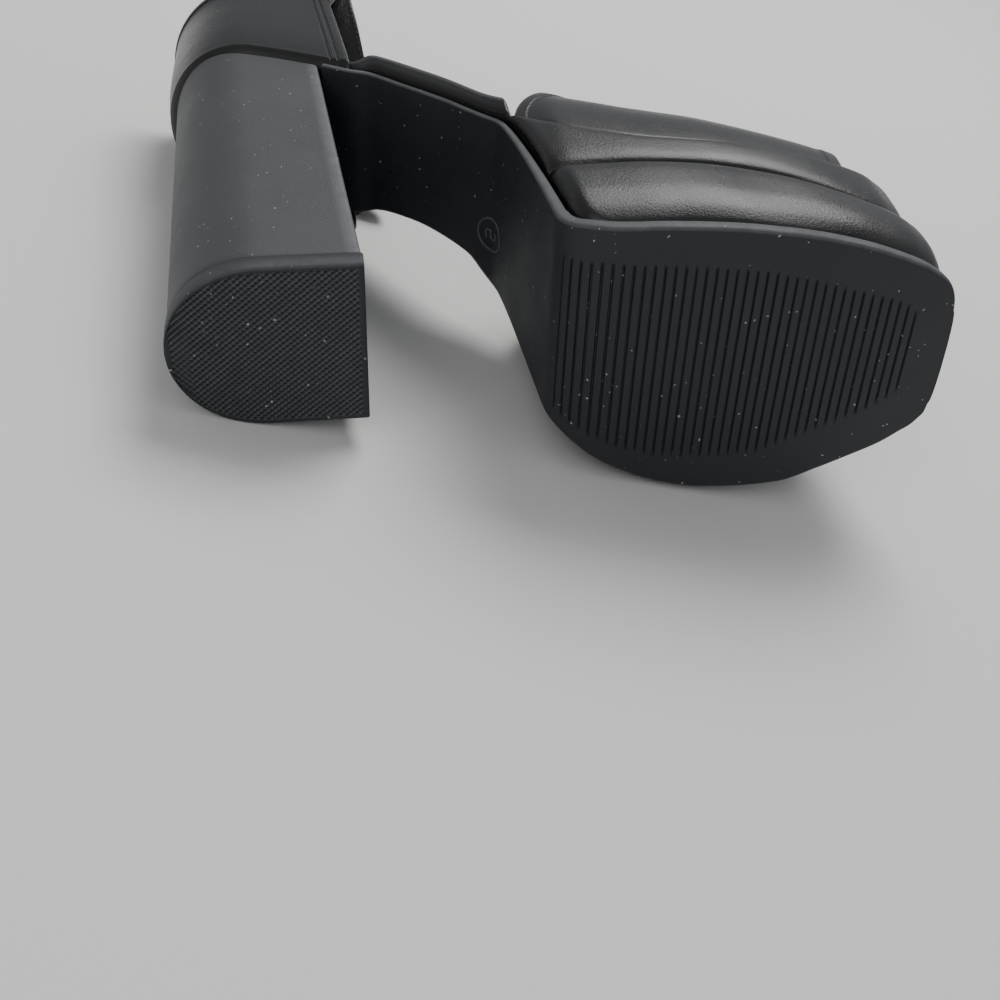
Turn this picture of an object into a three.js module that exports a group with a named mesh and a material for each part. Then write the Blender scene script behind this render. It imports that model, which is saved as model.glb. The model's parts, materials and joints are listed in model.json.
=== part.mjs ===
// Platform shoe with a block heel, a wide vamp band, a closed counter and a slack ankle strap.
// Right shoe. Shoe axes: x from the heel's back to the toe, y to the medial side, z up from the
// walking plane. The shoe lies on its medial side, so the last section turns the whole group.
import * as THREE from 'three';
import { ConvexHull } from 'three/addons/math/ConvexHull.js';

// Driving sizes, millimetres
const SHOE_LENGTH = 225;
const TREAD_WIDTH = 92;
const PLATFORM_HEIGHT = 48;
const LOWER_LAYER_TOP = 34.5;
const SEAT_HEIGHT = 140;
const TREAD_THICKNESS = 4;
const SHANK_THICKNESS = 2;
const TOE_SPRING = 3;
const FOOTBED_THICKNESS = 8;
const FOREFOOT_BOARD = 4.5;
const WAIST_FULLNESS = 1.35;
const WAIST_STAND = 3;
const SEAT_HALF_WIDTH = 28;
const SEAT_ROUND = 27;
const HEEL_TIP_DEPTH = 54;
const HEEL_TIP_HALF_WIDTH = 25.2;
const HEEL_TOP_DEPTH = 48.5;
const HEEL_TOP_HALF_WIDTH = 28.4;
const HEEL_TOP_OVERHANG = 1.9;
const TIP_THICKNESS = 6;
const TIP_PROUD = 0.4;
const LAYER_JOINT_DROP = 8;
const LOWER_CORNER = 4;
const UPPER_CORNER = 2.5;
const UPPER_WALL = 2;
const VAMP_HEIGHT = 56;
const VAMP_REAR = 105;
const VAMP_FRONT = 202;
const VAMP_SQUARENESS = 2.4;
const VAMP_STAND = 2.2;
const COUNTER_HEIGHT = 46.5;
const COUNTER_DROP = 1;
const COUNTER_FRONT = 56;
const COUNTER_FRONT_LEAN = 6;
const COUNTER_BULGE = 0.8;
const COUNTER_TUCK = 8;
const STRAP_WIDTH = 11;
const STRAP_THICKNESS = 1.8;
const BUCKLE_BAR = 1.8;
const BUCKLE_OPENING_LONG = 9;
const BUCKLE_OPENING_WIDE = 13;
const PRONG_RADIUS = 0.7;
const KEEPER_WIDTH = 4;
const KEEPER_WALL = 1.2;
const KEEPER_SPACE = 1.1;
const TAIL_END = 13;
const GAP = 0.3;

// Finishes
const finish = (color, roughness, metalness = 0) =>
  new THREE.MeshStandardMaterial({ color, roughness, metalness });
const blackRubber = () => finish(0x25282b, 0.75);
const blackWrap = () => finish(0x2b2c2e, 0.42);
const matteWrap = () => finish(0x3a3b3c, 0.6);
const darkMetal = () => finish(0x9a9a9c, 0.3, 1);

// Smooth interpolation of one column of a table against its x column
function column(table, key, x) {
  const last = table.length - 1;
  if (x <= table[0].x) return table[0][key];
  if (x >= table[last].x) return table[last][key];
  let i = 0;
  while (table[i + 1].x < x) i += 1;
  const slope = (k) => {
    if (k <= 0 || k >= last) return 0;
    const before = (table[k][key] - table[k - 1][key]) / (table[k].x - table[k - 1].x);
    const after = (table[k + 1][key] - table[k][key]) / (table[k + 1].x - table[k].x);
    return before * after > 0 ? (2 * before * after) / (before + after) : 0;
  };
  const step = table[i + 1].x - table[i].x;
  const t = (x - table[i].x) / step;
  const t2 = t * t;
  const t3 = t2 * t;
  return (2 * t3 - 3 * t2 + 1) * table[i][key] + (t3 - 2 * t2 + t) * step * slope(i)
    + (3 * t2 - 2 * t3) * table[i + 1][key] + (t3 - t2) * step * slope(i + 1);
}

const smooth = (from, to, x) => THREE.MathUtils.smoothstep(x, from, to);
const lerp = THREE.MathUtils.lerp;
const vec = (x, y, z) => new THREE.Vector3(x, y, z);

// The same between two shares of the shoe's length
const smoothShare = (from, to, x) => smooth(from * SHOE_LENGTH, to * SHOE_LENGTH, x);

// Rise of the last's bottom from the platform's top to the heel seat
// x is a share of the length, rise a share of the height between platform and seat
const lastProfile = [
  { x: -0.02, rise: 1.0 },
  { x: 0.09, rise: 0.94 },
  { x: 0.21, rise: 0.81 },
  { x: 0.255, rise: 0.745 },
  { x: 0.293, rise: 0.68 },
  { x: 0.333, rise: 0.585 },
  { x: 0.378, rise: 0.468 },
  { x: 0.422, rise: 0.335 },
  { x: 0.467, rise: 0.222 },
  { x: 0.511, rise: 0.13 },
  { x: 0.556, rise: 0.068 },
  { x: 0.622, rise: 0.015 },
  { x: 0.689, rise: 0.0 },
  { x: 0.778, rise: 0.0 },
  { x: 0.889, rise: 0.02 },
  { x: 1.0, rise: 0.055 },
];

// Plan outline of the tread, carried on along the waist
// x is a share of the length, lateral and medial are shares of the tread's width
const outline = [
  { x: 0.25, lateral: -0.323, medial: 0.23 },
  { x: 0.3, lateral: -0.318, medial: 0.195 },
  { x: 0.345, lateral: -0.321, medial: 0.185 },
  { x: 0.385, lateral: -0.326, medial: 0.197 },
  { x: 0.41, lateral: -0.329, medial: 0.212 },
  { x: 0.43, lateral: -0.33, medial: 0.262 },
  { x: 0.45, lateral: -0.333, medial: 0.31 },
  { x: 0.47, lateral: -0.34, medial: 0.367 },
  { x: 0.49, lateral: -0.348, medial: 0.405 },
  { x: 0.511, lateral: -0.355, medial: 0.447 },
  { x: 0.535, lateral: -0.356, medial: 0.493 },
  { x: 0.58, lateral: -0.356, medial: 0.558 },
  { x: 0.63, lateral: -0.351, medial: 0.612 },
  { x: 0.69, lateral: -0.34, medial: 0.647 },
  { x: 0.75, lateral: -0.32, medial: 0.655 },
  { x: 0.8, lateral: -0.298, medial: 0.648 },
  { x: 0.86, lateral: -0.26, medial: 0.594 },
  { x: 0.9, lateral: -0.226, medial: 0.55 },
  { x: 0.943, lateral: -0.18, medial: 0.505 },
  { x: 0.966, lateral: -0.144, medial: 0.473 },
  { x: 0.98, lateral: -0.117, medial: 0.455 },
  { x: 0.99, lateral: -0.085, medial: 0.43 },
  { x: 0.9965, lateral: -0.046, medial: 0.41 },
  { x: 1, lateral: 0, medial: 0.37 },
];

const lastBottom = (x) =>
  PLATFORM_HEIGHT + (SEAT_HEIGHT - PLATFORM_HEIGHT) * column(lastProfile, 'rise', x / SHOE_LENGTH);
const lateralEdge = (x) => TREAD_WIDTH * column(outline, 'lateral', x / SHOE_LENGTH);
const medialEdge = (x) => TREAD_WIDTH * column(outline, 'medial', x / SHOE_LENGTH);
const toeSpring = (x) => TOE_SPRING * smooth(0.88, 1.03, x / SHOE_LENGTH) ** 1.5;

// One closed mesh from equal rings of points, with fans or strips as its two ends
function ringSolid(rings, endStyle = 'fan') {
  const count = rings[0].length;
  const positions = rings.flat().flatMap((p) => [p.x, p.y, p.z]);
  const faces = [];
  for (let r = 0; r + 1 < rings.length; r += 1) {
    for (let k = 0; k < count; k += 1) {
      const a = r * count + k;
      const b = r * count + (k + 1) % count;
      faces.push(a, b, b + count, a, b + count, a + count);
    }
  }
  const closeEnd = (start, forward) => {
    const tris = [];
    if (endStyle === 'strip') {
      const half = count / 2;
      for (let k = 0; k + 1 < half; k += 1) {
        const far = count - 1 - k;
        tris.push([k, far, k + 1], [k + 1, far, far - 1]);
      }
    } else {
      const middle = positions.length / 3;
      const ring = rings[start / count];
      const centre = ring.reduce((sum, p) => sum.add(p), vec(0, 0, 0)).divideScalar(count);
      positions.push(centre.x, centre.y, centre.z);
      for (let k = 0; k < count; k += 1) tris.push([(k + 1) % count, k, middle - start]);
    }
    for (const [a, b, c] of tris) {
      if (forward) faces.push(start + a, start + b, start + c);
      else faces.push(start + b, start + a, start + c);
    }
  };
  closeEnd(0, true);
  closeEnd((rings.length - 1) * count, false);
  return closedGeometry(positions, faces);
}

// Geometry whose faces point outwards whatever the direction its rings ran in
function closedGeometry(positions, faces) {
  let volume = 0;
  const at = (i) => vec(positions[3 * i], positions[3 * i + 1], positions[3 * i + 2]);
  for (let i = 0; i < faces.length; i += 3) {
    volume += at(faces[i]).dot(at(faces[i + 1]).cross(at(faces[i + 2])));
  }
  if (volume < 0) {
    for (let i = 0; i < faces.length; i += 3) {
      [faces[i], faces[i + 1]] = [faces[i + 1], faces[i]];
    }
  }
  const geometry = new THREE.BufferGeometry();
  geometry.setAttribute('position', new THREE.Float32BufferAttribute(positions, 3));
  geometry.setIndex(faces);
  return geometry;
}

function named(name, geometry, material) {
  const mesh = new THREE.Mesh(geometry, material);
  mesh.name = name;
  return mesh;
}

// Stations along x, closer together towards a round end
const spread = (from, to, steps) =>
  Array.from({ length: steps + 1 }, (_, i) => lerp(from, to, i / steps));
const easedToToe = (from, to, steps) =>
  Array.from({ length: steps + 1 }, (_, i) => from + (to - from) * Math.sin((i / steps) * Math.PI / 2));

// Outsole: its walking face runs back, turns up behind the platform and follows the shank
const REAR_TURN = 0.58 * SHOE_LENGTH;
const REAR_FOOT = 0.48 * SHOE_LENGTH;
const REAR_TOP = 0.449 * SHOE_LENGTH;
const REAR_JOIN = 0.436 * SHOE_LENGTH;
const REAR_SHANK = 0.422 * SHOE_LENGTH;
const SHANK_END = HEEL_TOP_DEPTH - HEEL_TOP_OVERHANG + 1.2;
const REAR_JOIN_SHARE = 0.93;
const JOINT_REACH = 0.018 * SHOE_LENGTH;

const tuckDrop = (x) =>
  (UPPER_WALL + GAP) * (1 - smooth(COUNTER_FRONT - 1, COUNTER_FRONT + 8, x));
const shankFace = (x) => {
  const slope = (lastBottom(x + 1) - lastBottom(x - 1)) / 2;
  return lastBottom(x) - (GAP + SHANK_THICKNESS) * Math.hypot(1, slope) - 0.1 - tuckDrop(x);
};

function outsolePath() {
  const top = shankFace(REAR_TOP) * REAR_JOIN_SHARE;
  const along = (share, height) => new THREE.Vector2(lerp(REAR_FOOT, REAR_TOP, share), top * height);
  const turn = new THREE.CubicBezierCurve(
    new THREE.Vector2(REAR_TURN, 0),
    new THREE.Vector2(lerp(REAR_TURN, REAR_FOOT, 0.6), 0),
    along(0, 0.05),
    along(0.16, 0.2),
  );
  const joint = shankFace(REAR_JOIN);
  const slope = shankFace(REAR_JOIN + 1) - joint;
  const rise = new THREE.CubicBezierCurve(
    along(0.16, 0.2),
    along(0.3, 0.36),
    new THREE.Vector2(REAR_JOIN + JOINT_REACH, joint + JOINT_REACH * slope),
    new THREE.Vector2(REAR_JOIN, joint),
  );
  const points = [];
  for (const x of easedToToe(REAR_TURN, SHOE_LENGTH, 22).reverse()) {
    points.push({ x, z: toeSpring(x), t: TREAD_THICKNESS });
  }
  for (const p of turn.getPoints(9).slice(1)) {
    points.push({ x: p.x, z: p.y, t: TREAD_THICKNESS });
  }
  for (const p of rise.getPoints(7).slice(1)) {
    const thinning = p.y / shankFace(REAR_JOIN);
    points.push({ x: p.x, z: p.y, t: lerp(TREAD_THICKNESS, SHANK_THICKNESS, thinning) });
  }
  for (const x of spread(REAR_SHANK, SHANK_END, 9)) {
    points.push({ x, z: shankFace(x), t: SHANK_THICKNESS });
  }
  points.forEach((p, i) => {
    const a = points[Math.max(i - 1, 0)];
    const b = points[Math.min(i + 1, points.length - 1)];
    const length = Math.hypot(b.x - a.x, b.z - a.z);
    p.nx = (b.z - a.z) / length;
    p.nz = -(b.x - a.x) / length;
    p.innerX = p.x + p.nx * p.t;
    p.innerZ = p.z + p.nz * p.t;
  });
  return points;
}

const solePath = outsolePath();

function outsole() {
  const rings = solePath.map((p) => {
    const lateral = lateralEdge(p.x);
    const medial = medialEdge(p.x);
    const edge = Math.min(1.2, p.t * 0.3);
    const at = (y, depth) => vec(p.x + p.nx * depth, y, p.z + p.nz * depth);
    const across = [0.15, 0.5, 0.85].map((s) => lerp(lateral, medial, s));
    return [
      at(lateral, edge), at(lateral + edge, 0), ...across.map((y) => at(y, 0)),
      at(medial - edge, 0), at(medial, edge), at(medial, p.t - 0.4), at(medial - 0.4, p.t),
      ...across.reverse().map((y) => at(y, p.t)), at(lateral + 0.4, p.t), at(lateral, p.t - 0.4),
    ];
  });
  return ringSolid(rings);
}

// The platform's rear face lies just inside the outsole's turned-up part
function platformRear(z) {
  let rear = -Infinity;
  for (let i = 0; i + 1 < solePath.length; i += 1) {
    const a = solePath[i];
    const b = solePath[i + 1];
    if (a.innerZ <= z && b.innerZ > z && a.innerX < REAR_TURN + 8) {
      const t = (z - a.innerZ) / (b.innerZ - a.innerZ);
      rear = Math.max(rear, lerp(a.innerX, b.innerX, t));
    }
  }
  return rear;
}

// Closed plan loop of the tread's outline from a rear end round the toe
function platformLoop(rear, side, toe, cornerRadius) {
  const ball = 0.66 * SHOE_LENGTH;
  const corner = [0, 0.1, 0.32, 0.65].map((share) => rear + share * cornerRadius);
  const xs = [
    ...corner, ...spread(rear + cornerRadius, ball, 9), ...easedToToe(ball, SHOE_LENGTH, 13).slice(1),
  ];
  const rounding = (x) => {
    const along = THREE.MathUtils.clamp(1 - (x - rear) / cornerRadius, 0, 1);
    return cornerRadius * (1 - Math.sqrt(Math.max(1 - along * along, 0)));
  };
  const lateral = xs.map((x) => new THREE.Vector2(x, lateralEdge(x) + rounding(x)));
  const medial = xs.map((x) => new THREE.Vector2(x, medialEdge(x) - rounding(x)));
  const loop = [...lateral, ...medial.reverse()];
  const last = loop.length - 1;
  return loop.map((p, i) => {
    const before = loop[Math.max(i - 1, 0)];
    const after = loop[Math.min(i + 1, last)];
    const normal = new THREE.Vector2(after.y - before.y, before.x - after.x).normalize();
    const forward = i === 0 || i === last ? 0 : Math.max(normal.x, 0);
    return new THREE.Vector2(p.x + forward * toe, p.y + normal.y * side);
  });
}

// A wrapped layer: plan loops stacked between two heights, with a fuller middle
function wrappedLayer(levels, cornerRadius, bottomAt, topAt) {
  const rings = levels.map(({ share, side, toe }) => {
    let rear = REAR_TOP;
    for (let pass = 0; pass < 20; pass += 1) {
      const reach = platformRear(lerp(bottomAt(rear), topAt(rear), share)) + 3 * GAP;
      rear = Math.max(rear, lerp(rear, reach, 0.5));
    }
    return platformLoop(rear, side, toe, cornerRadius)
      .map((p) => vec(p.x, p.y, lerp(bottomAt(p.x), topAt(p.x), share)));
  });
  return ringSolid(rings, 'strip');
}

const lowerLevels = [
  { share: 0, side: -2.2, toe: -3.2 },
  { share: 0.07, side: -0.6, toe: -2.4 },
  { share: 0.25, side: 1.6, toe: -1.2 },
  { share: 0.5, side: 2.8, toe: -0.8 },
  { share: 0.78, side: 3.0, toe: -1.2 },
  { share: 0.94, side: 2.5, toe: -1.9 },
  { share: 1, side: 1.2, toe: -3.2 },
];
const upperLevels = [
  { share: 0, side: 0.6, toe: -5.6 },
  { share: 0.1, side: 1.9, toe: -4.6 },
  { share: 0.4, side: 2.9, toe: -4.0 },
  { share: 0.8, side: 3.2, toe: -4.2 },
  { share: 0.94, side: 3.0, toe: -4.8 },
  { share: 1, side: 2.2, toe: -5.8 },
];
const treadTop = (x) => toeSpring(x) + TREAD_THICKNESS + GAP;
const layerJoint = (x) =>
  LOWER_LAYER_TOP - LAYER_JOINT_DROP * smoothShare(0.66, 0.99, x) + toeSpring(x) * 0.9;
const platformLower = () => wrappedLayer(lowerLevels, LOWER_CORNER, treadTop, layerJoint);
const platformUpper = () =>
  wrappedLayer(upperLevels, UPPER_CORNER, (x) => layerJoint(x) + GAP, (x) => lastBottom(x) - GAP);

// Footbed: a board along the last's bottom, thinner and narrower under the vamp
const inWaist = (x) => smoothShare(0.253, 0.293, x) * (1 - smoothShare(0.452, 0.466, x));
const footbedTop = (x) =>
  lastBottom(x) + lerp(FOOTBED_THICKNESS, FOREFOOT_BOARD, smooth(VAMP_REAR, VAMP_REAR + 24, x))
  * lerp(1, WAIST_FULLNESS, smoothShare(0.22, 0.33, x) * (1 - smoothShare(0.48, 0.56, x)));
const seatHalfWidth = (x) => {
  const along = THREE.MathUtils.clamp((SEAT_ROUND - HEEL_TOP_OVERHANG - x) / SEAT_ROUND, 0, 1);
  return SEAT_HALF_WIDTH * Math.sqrt(Math.max(1 - along * along, 0));
};
const vampStand = (x) =>
  VAMP_STAND * smooth(VAMP_REAR - 10, VAMP_REAR + 12, x) * lerp(1, 0.3, smoothShare(0.67, 0.89, x));
const vampInset = (x) =>
  (UPPER_WALL + GAP + 0.5) * smooth(VAMP_REAR - 3, VAMP_REAR - GAP, x) - vampStand(x);
const FOOTBED_TOE = 0.97 * SHOE_LENGTH;
const stretched = (x) => x + (SHOE_LENGTH - FOOTBED_TOE) * smooth(0.6 * SHOE_LENGTH, FOOTBED_TOE, x);
const toSeat = (x, seat, edge) => lerp(seat, edge, smooth(COUNTER_FRONT - 2, COUNTER_FRONT + 8, x));
const footbedEdge = (x) => WAIST_STAND * inWaist(x) - vampInset(x);
const footbedLateral = (x) =>
  toSeat(x, -seatHalfWidth(x), lateralEdge(stretched(x)) - footbedEdge(x));
const footbedMedial = (x) =>
  toSeat(x, seatHalfWidth(x), medialEdge(stretched(x)) + footbedEdge(x));

function footbed() {
  const back = -HEEL_TOP_OVERHANG;
  const turns = spread(0, Math.PI / 2, 9).slice(1);
  const round = turns.map((angle) => back + SEAT_ROUND * (1 - Math.cos(angle)));
  const bend = 0.844 * SHOE_LENGTH;
  const xs = [
    back + 0.12, ...round,
    ...spread(0.133 * SHOE_LENGTH, VAMP_REAR - 3, 12), ...spread(VAMP_REAR - GAP, bend, 13),
    ...easedToToe(bend, FOOTBED_TOE, 9).slice(1),
  ];
  const rings = xs.map((x) => {
    const lateral = footbedLateral(x);
    const medial = footbedMedial(x);
    const bottom = lastBottom(x);
    const top = footbedTop(x);
    const bevel = Math.min(1.6, (medial - lateral) * 0.2);
    const at = (y, share) => vec(x, y, lerp(bottom, top, share));
    const across = [0.2, 0.5, 0.8].map((s) => lerp(lateral, medial, s));
    return [
      at(lateral + bevel, 0), ...across.map((y) => at(y, 0)), at(medial - bevel, 0),
      at(medial - bevel * 0.25, 0.28), at(medial, 0.5), at(medial - bevel * 0.35, 0.86),
      at(medial - bevel, 1), ...across.reverse().map((y) => at(y, 1)), at(lateral + bevel, 1),
      at(lateral + bevel * 0.35, 0.86), at(lateral, 0.5), at(lateral + bevel * 0.25, 0.28),
    ];
  });
  return ringSolid(rings);
}

// Heel block: D-shaped plan from the tip up to the seat, its top following the last
function heelLoop(depth, halfWidth, back, steps = 16) {
  const round = depth * 0.5;
  const loop = [vec(back + depth, -halfWidth, 0), vec(back + depth * 0.75, -halfWidth, 0)];
  for (let i = 0; i <= steps; i += 1) {
    const angle = -Math.PI / 2 + (i / steps) * Math.PI;
    const y = halfWidth * Math.sin(angle);
    const reach = Math.abs(Math.cos(angle)) ** 0.94;
    loop.push(vec(back + round - round * reach, y, 0));
  }
  loop.push(vec(back + depth * 0.75, halfWidth, 0), vec(back + depth, halfWidth, 0));
  loop.push(vec(back + depth, halfWidth * 0.33, 0), vec(back + depth, -halfWidth * 0.33, 0));
  return loop;
}

function heel() {
  const bottom = TIP_THICKNESS + GAP;
  const rings = spread(0, 1, 8).map((share) => {
    const depth = lerp(HEEL_TIP_DEPTH, HEEL_TOP_DEPTH, share);
    const half = lerp(HEEL_TIP_HALF_WIDTH, HEEL_TOP_HALF_WIDTH, share);
    const back = lerp(0, -HEEL_TOP_OVERHANG, share);
    return heelLoop(depth, half, back).map((p) => {
      const top = lastBottom(p.x) - UPPER_WALL - 2 * GAP;
      return vec(p.x, p.y, lerp(bottom, top, share));
    });
  });
  return ringSolid(rings);
}

function heelTip() {
  const edge = 0.8;
  const level = (z, grow) =>
    heelLoop(HEEL_TIP_DEPTH + 2 * grow, HEEL_TIP_HALF_WIDTH + grow, -grow).map((p) => vec(p.x, p.y, z));
  const rings = [level(0, TIP_PROUD - edge), level(edge, TIP_PROUD), level(TIP_THICKNESS, TIP_PROUD)];
  return ringSolid(rings);
}

// Vamp: an arched wall over the forefoot, standing on the platform's top edge
const vampShape = [
  { x: 0.44, height: 0.86 },
  { x: 0.5, height: 0.96 },
  { x: 0.58, height: 1.0 },
  { x: 0.68, height: 0.93 },
  { x: 0.78, height: 0.8 },
  { x: 0.88, height: 0.66 },
  { x: 0.95, height: 0.54 },
];
function vampPoint(x, angle, inward) {
  const stand = vampStand(x);
  const lateral = lateralEdge(x) - stand + inward;
  const medial = medialEdge(x) + stand - inward;
  const height = VAMP_HEIGHT * column(vampShape, 'height', x / SHOE_LENGTH) - inward;
  const power = 2 / VAMP_SQUARENESS;
  const cos = Math.cos(angle);
  const sin = Math.max(Math.sin(angle), 0);
  const y = (lateral + medial) / 2 - Math.sign(cos) * Math.abs(cos) ** power * (medial - lateral) / 2;
  return vec(x, y, lastBottom(x) + sin ** power * height);
}

function vamp() {
  const aroundSteps = 30;
  const alongSteps = 22;
  const angles = spread(0, Math.PI, aroundSteps);
  const rings = angles.map((angle) => {
    const top = Math.sin(angle);
    const rear = VAMP_REAR + 34 * top ** 1.5 + 3 * smooth(Math.PI / 2, Math.PI, angle);
    const front = VAMP_FRONT + 6 * top - 9 * smooth(Math.PI / 2, Math.PI, angle);
    const xs = spread(rear, front, alongSteps);
    const outer = xs.map((x) => vampPoint(x, angle, 0));
    const inner = xs.map((x) => vampPoint(x, angle, UPPER_WALL)).reverse();
    return [...outer, ...inner];
  });
  return ringSolid(rings, 'strip');
}

// Counter: a cupped wall round the heel seat, tucked in under the footbed
// x is a share of the wall's height, bulge a share of the fullness at the back
const counterWall = [
  { x: 0.0, bulge: 0.15 },
  { x: 0.1, bulge: 0.6 },
  { x: 0.28, bulge: 1.0 },
  { x: 0.5, bulge: 0.85 },
  { x: 0.75, bulge: 0.35 },
  { x: 1.0, bulge: -0.2 },
];
const counterShares = [0, 0.02, 0.06, 0.12, 0.22, 0.36, 0.52, 0.68, 0.84, 0.95, 1];
const counterTop = (x) =>
  SEAT_HEIGHT + COUNTER_HEIGHT - COUNTER_DROP * smooth(-10, COUNTER_FRONT, x);

function counter() {
  const centreX = SEAT_ROUND - HEEL_TOP_OVERHANG;
  const straight = [1, 0.66, 0.33];
  const stations = [
    ...straight.map((along) => ({ along, angle: -Math.PI / 2 })),
    ...spread(-Math.PI / 2, Math.PI / 2, 20).map((angle) => ({ along: 0, angle })),
    ...straight.reverse().map((along) => ({ along, angle: Math.PI / 2 })),
  ];
  const rings = stations.map(({ along, angle }) => {
    const backness = Math.cos(angle) ** 2;
    const footAt = (share) => {
      const forward = along * (COUNTER_FRONT - centreX - COUNTER_FRONT_LEAN * share);
      const x = centreX + forward - Math.cos(angle) * SEAT_ROUND;
      return vec(x, Math.sin(angle) * SEAT_HALF_WIDTH, 0);
    };
    const outwards = vec(-Math.cos(angle), Math.sin(angle), 0);
    const place = (share, offset) => footAt(share).addScaledVector(outwards, offset);
    const tuck = (offset, lift) => {
      const p = place(0, offset);
      p.z = lastBottom(p.x) + lift;
      return p;
    };
    const wall = (share, offset) => {
      const p = place(share, offset);
      const foot = footAt(share).x;
      const low = lastBottom(place(0, Math.min(offset, 0)).x) + 0.2;
      p.z = lerp(low, counterTop(foot), share);
      return p;
    };
    const full = lerp(0.75, 1, backness);
    const under = -GAP - UPPER_WALL;
    const outer = [tuck(-COUNTER_TUCK, under), tuck(-2.5, under), tuck(0.4, under + 0.5)];
    const inner = [tuck(-COUNTER_TUCK, -GAP), tuck(-2.5, -GAP), tuck(0.1, -GAP)];
    for (const share of counterShares) {
      const bulge = COUNTER_BULGE * column(counterWall, 'bulge', share) * full;
      const rolled = share === 0 ? 0.6 : 0;
      outer.push(wall(share, UPPER_WALL + GAP + bulge - rolled));
      inner.push(wall(share, GAP + bulge));
    }
    return [...outer, ...inner.reverse()];
  });
  return ringSolid(rings, 'strip');
}

// Straps: a band carried along a curve, its width lying along a direction given at each point
function band(route, width, thickness, steps) {
  const centre = new THREE.CatmullRomCurve3(route.map((r) => r.at), false, 'centripetal');
  const lying = new THREE.CatmullRomCurve3(route.map((r) => r.wide), false, 'centripetal');
  const rings = spread(0, 1, steps).map((t) => {
    const frame = bandFrame(centre, lying, t);
    const at = (u, v) => frame.at.clone()
      .addScaledVector(frame.wide, u * width / 2).addScaledVector(frame.face, v * thickness / 2);
    const corner = 1 - 0.5 / (width / 2);
    return [
      at(-1, -0.4), at(-corner, -1), at(corner, -1), at(1, -0.4),
      at(1, 0.4), at(corner, 1), at(-corner, 1), at(-1, 0.4),
    ];
  });
  return ringSolid(rings);
}

function bandFrame(centre, lying, t) {
  const at = centre.getPoint(t);
  const run = centre.getTangent(t);
  const wide = lying.getPoint(t);
  wide.addScaledVector(run, -wide.dot(run)).normalize();
  return { at, run, wide, face: run.clone().cross(wide) };
}

// Places on the strap's way: reach is a share of the way to the counter's front, side a share of
// the strap's distance from the middle line, rise a share of the counter's height above the seat
const strapInside = SEAT_HALF_WIDTH - STRAP_THICKNESS / 2 - GAP;
const strapPoint = ({ reach, side, rise }) =>
  vec(reach * COUNTER_FRONT, side * strapInside, SEAT_HEIGHT + rise * COUNTER_HEIGHT);
const buckleCentre = strapPoint({ reach: 0.955, side: -1.082, rise: 1.29 });
const buckleExit = strapPoint({ reach: 0.911, side: -1.007, rise: 1.011 });
const buckleRun = buckleExit.clone().sub(buckleCentre).normalize();
const buckleFace = vec(0, -1, 0).addScaledVector(buckleRun, buckleRun.y).normalize();
const buckleWide = buckleFace.clone().cross(buckleRun);
const onBuckle = (run, face) =>
  buckleCentre.clone().addScaledVector(buckleRun, run).addScaledVector(buckleFace, face);
const layered = STRAP_THICKNESS + 2 * GAP;
const passing = (STRAP_THICKNESS + BUCKLE_BAR) / 2 + GAP;
const barMiddle = (BUCKLE_OPENING_LONG + BUCKLE_BAR) / 2;
const frameEnd = barMiddle + BUCKLE_BAR / 2;

// From inside the medial wall down to a slack loop, up across the opening and over to the buckle
const upright = vec(0, 0, 1);
const crosswise = vec(1, 0, 0);
const slackPath = [
  { reach: 0.607, side: 1, rise: 0.753, wide: upright },
  { reach: 0.75, side: 1, rise: 0.746, wide: vec(0.05, 0, 1) },
  { reach: 0.893, side: 0.99, rise: 0.71, wide: vec(0.15, 0, 1) },
  { reach: 1.03, side: 1.07, rise: 0.6, wide: vec(0.6, -0.1, 0.8) },
  { reach: 1.105, side: 1.29, rise: 0.42, wide: vec(0.95, -0.1, 0.3) },
  { reach: 1.143, side: 1.44, rise: 0.235, wide: crosswise },
  { reach: 1.152, side: 1.395, rise: 0.12, wide: crosswise },
  { reach: 1.152, side: 1.17, rise: 0.165, wide: crosswise },
  { reach: 1.116, side: 0.746, rise: 0.376, wide: crosswise },
  { reach: 1.089, side: 0.224, rise: 0.634, wide: crosswise },
  { reach: 1.054, side: -0.224, rise: 0.892, wide: crosswise },
  { reach: 1.025, side: -0.522, rise: 1.084, wide: crosswise },
  { reach: 1.0, side: -0.701, rise: 1.28, wide: crosswise },
  { reach: 1.004, side: -0.731, rise: 1.441, wide: crosswise },
  { reach: 1.007, side: -0.84, rise: 1.57, wide: crosswise },
  { reach: 1.0, side: -0.97, rise: 1.581, wide: crosswise },
];
const throughBuckle = [
  { run: -frameEnd - 3.7, face: -passing - 0.6 },
  { run: -barMiddle, face: -passing - 0.22 },
  { run: 0, face: 0 },
  { run: barMiddle, face: passing + 0.22 },
  { run: barMiddle + 4, face: layered },
  { run: TAIL_END, face: layered },
];
const strapRoute = [
  ...slackPath.map((place) => ({ at: strapPoint(place), wide: place.wide })),
  ...throughBuckle.map(({ run, face }) => ({ at: onBuckle(run, face), wide: buckleWide })),
];
const ankleStrap = () => band(strapRoute, STRAP_WIDTH, STRAP_THICKNESS, 84);

const uprising = vec(0.9, 0, -0.4);
const buckleRoute = [
  { at: strapPoint({ reach: 0.768, side: -1, rise: 0.581 }), wide: uprising },
  { at: strapPoint({ reach: 0.848, side: -1, rise: 0.796 }), wide: uprising },
  { at: buckleExit, wide: buckleWide },
  { at: onBuckle(frameEnd + 3, 0), wide: buckleWide },
  { at: onBuckle(frameEnd + GAP, 0), wide: buckleWide },
];
const buckleStrap = () => band(buckleRoute, STRAP_WIDTH, STRAP_THICKNESS, 22);

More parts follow.
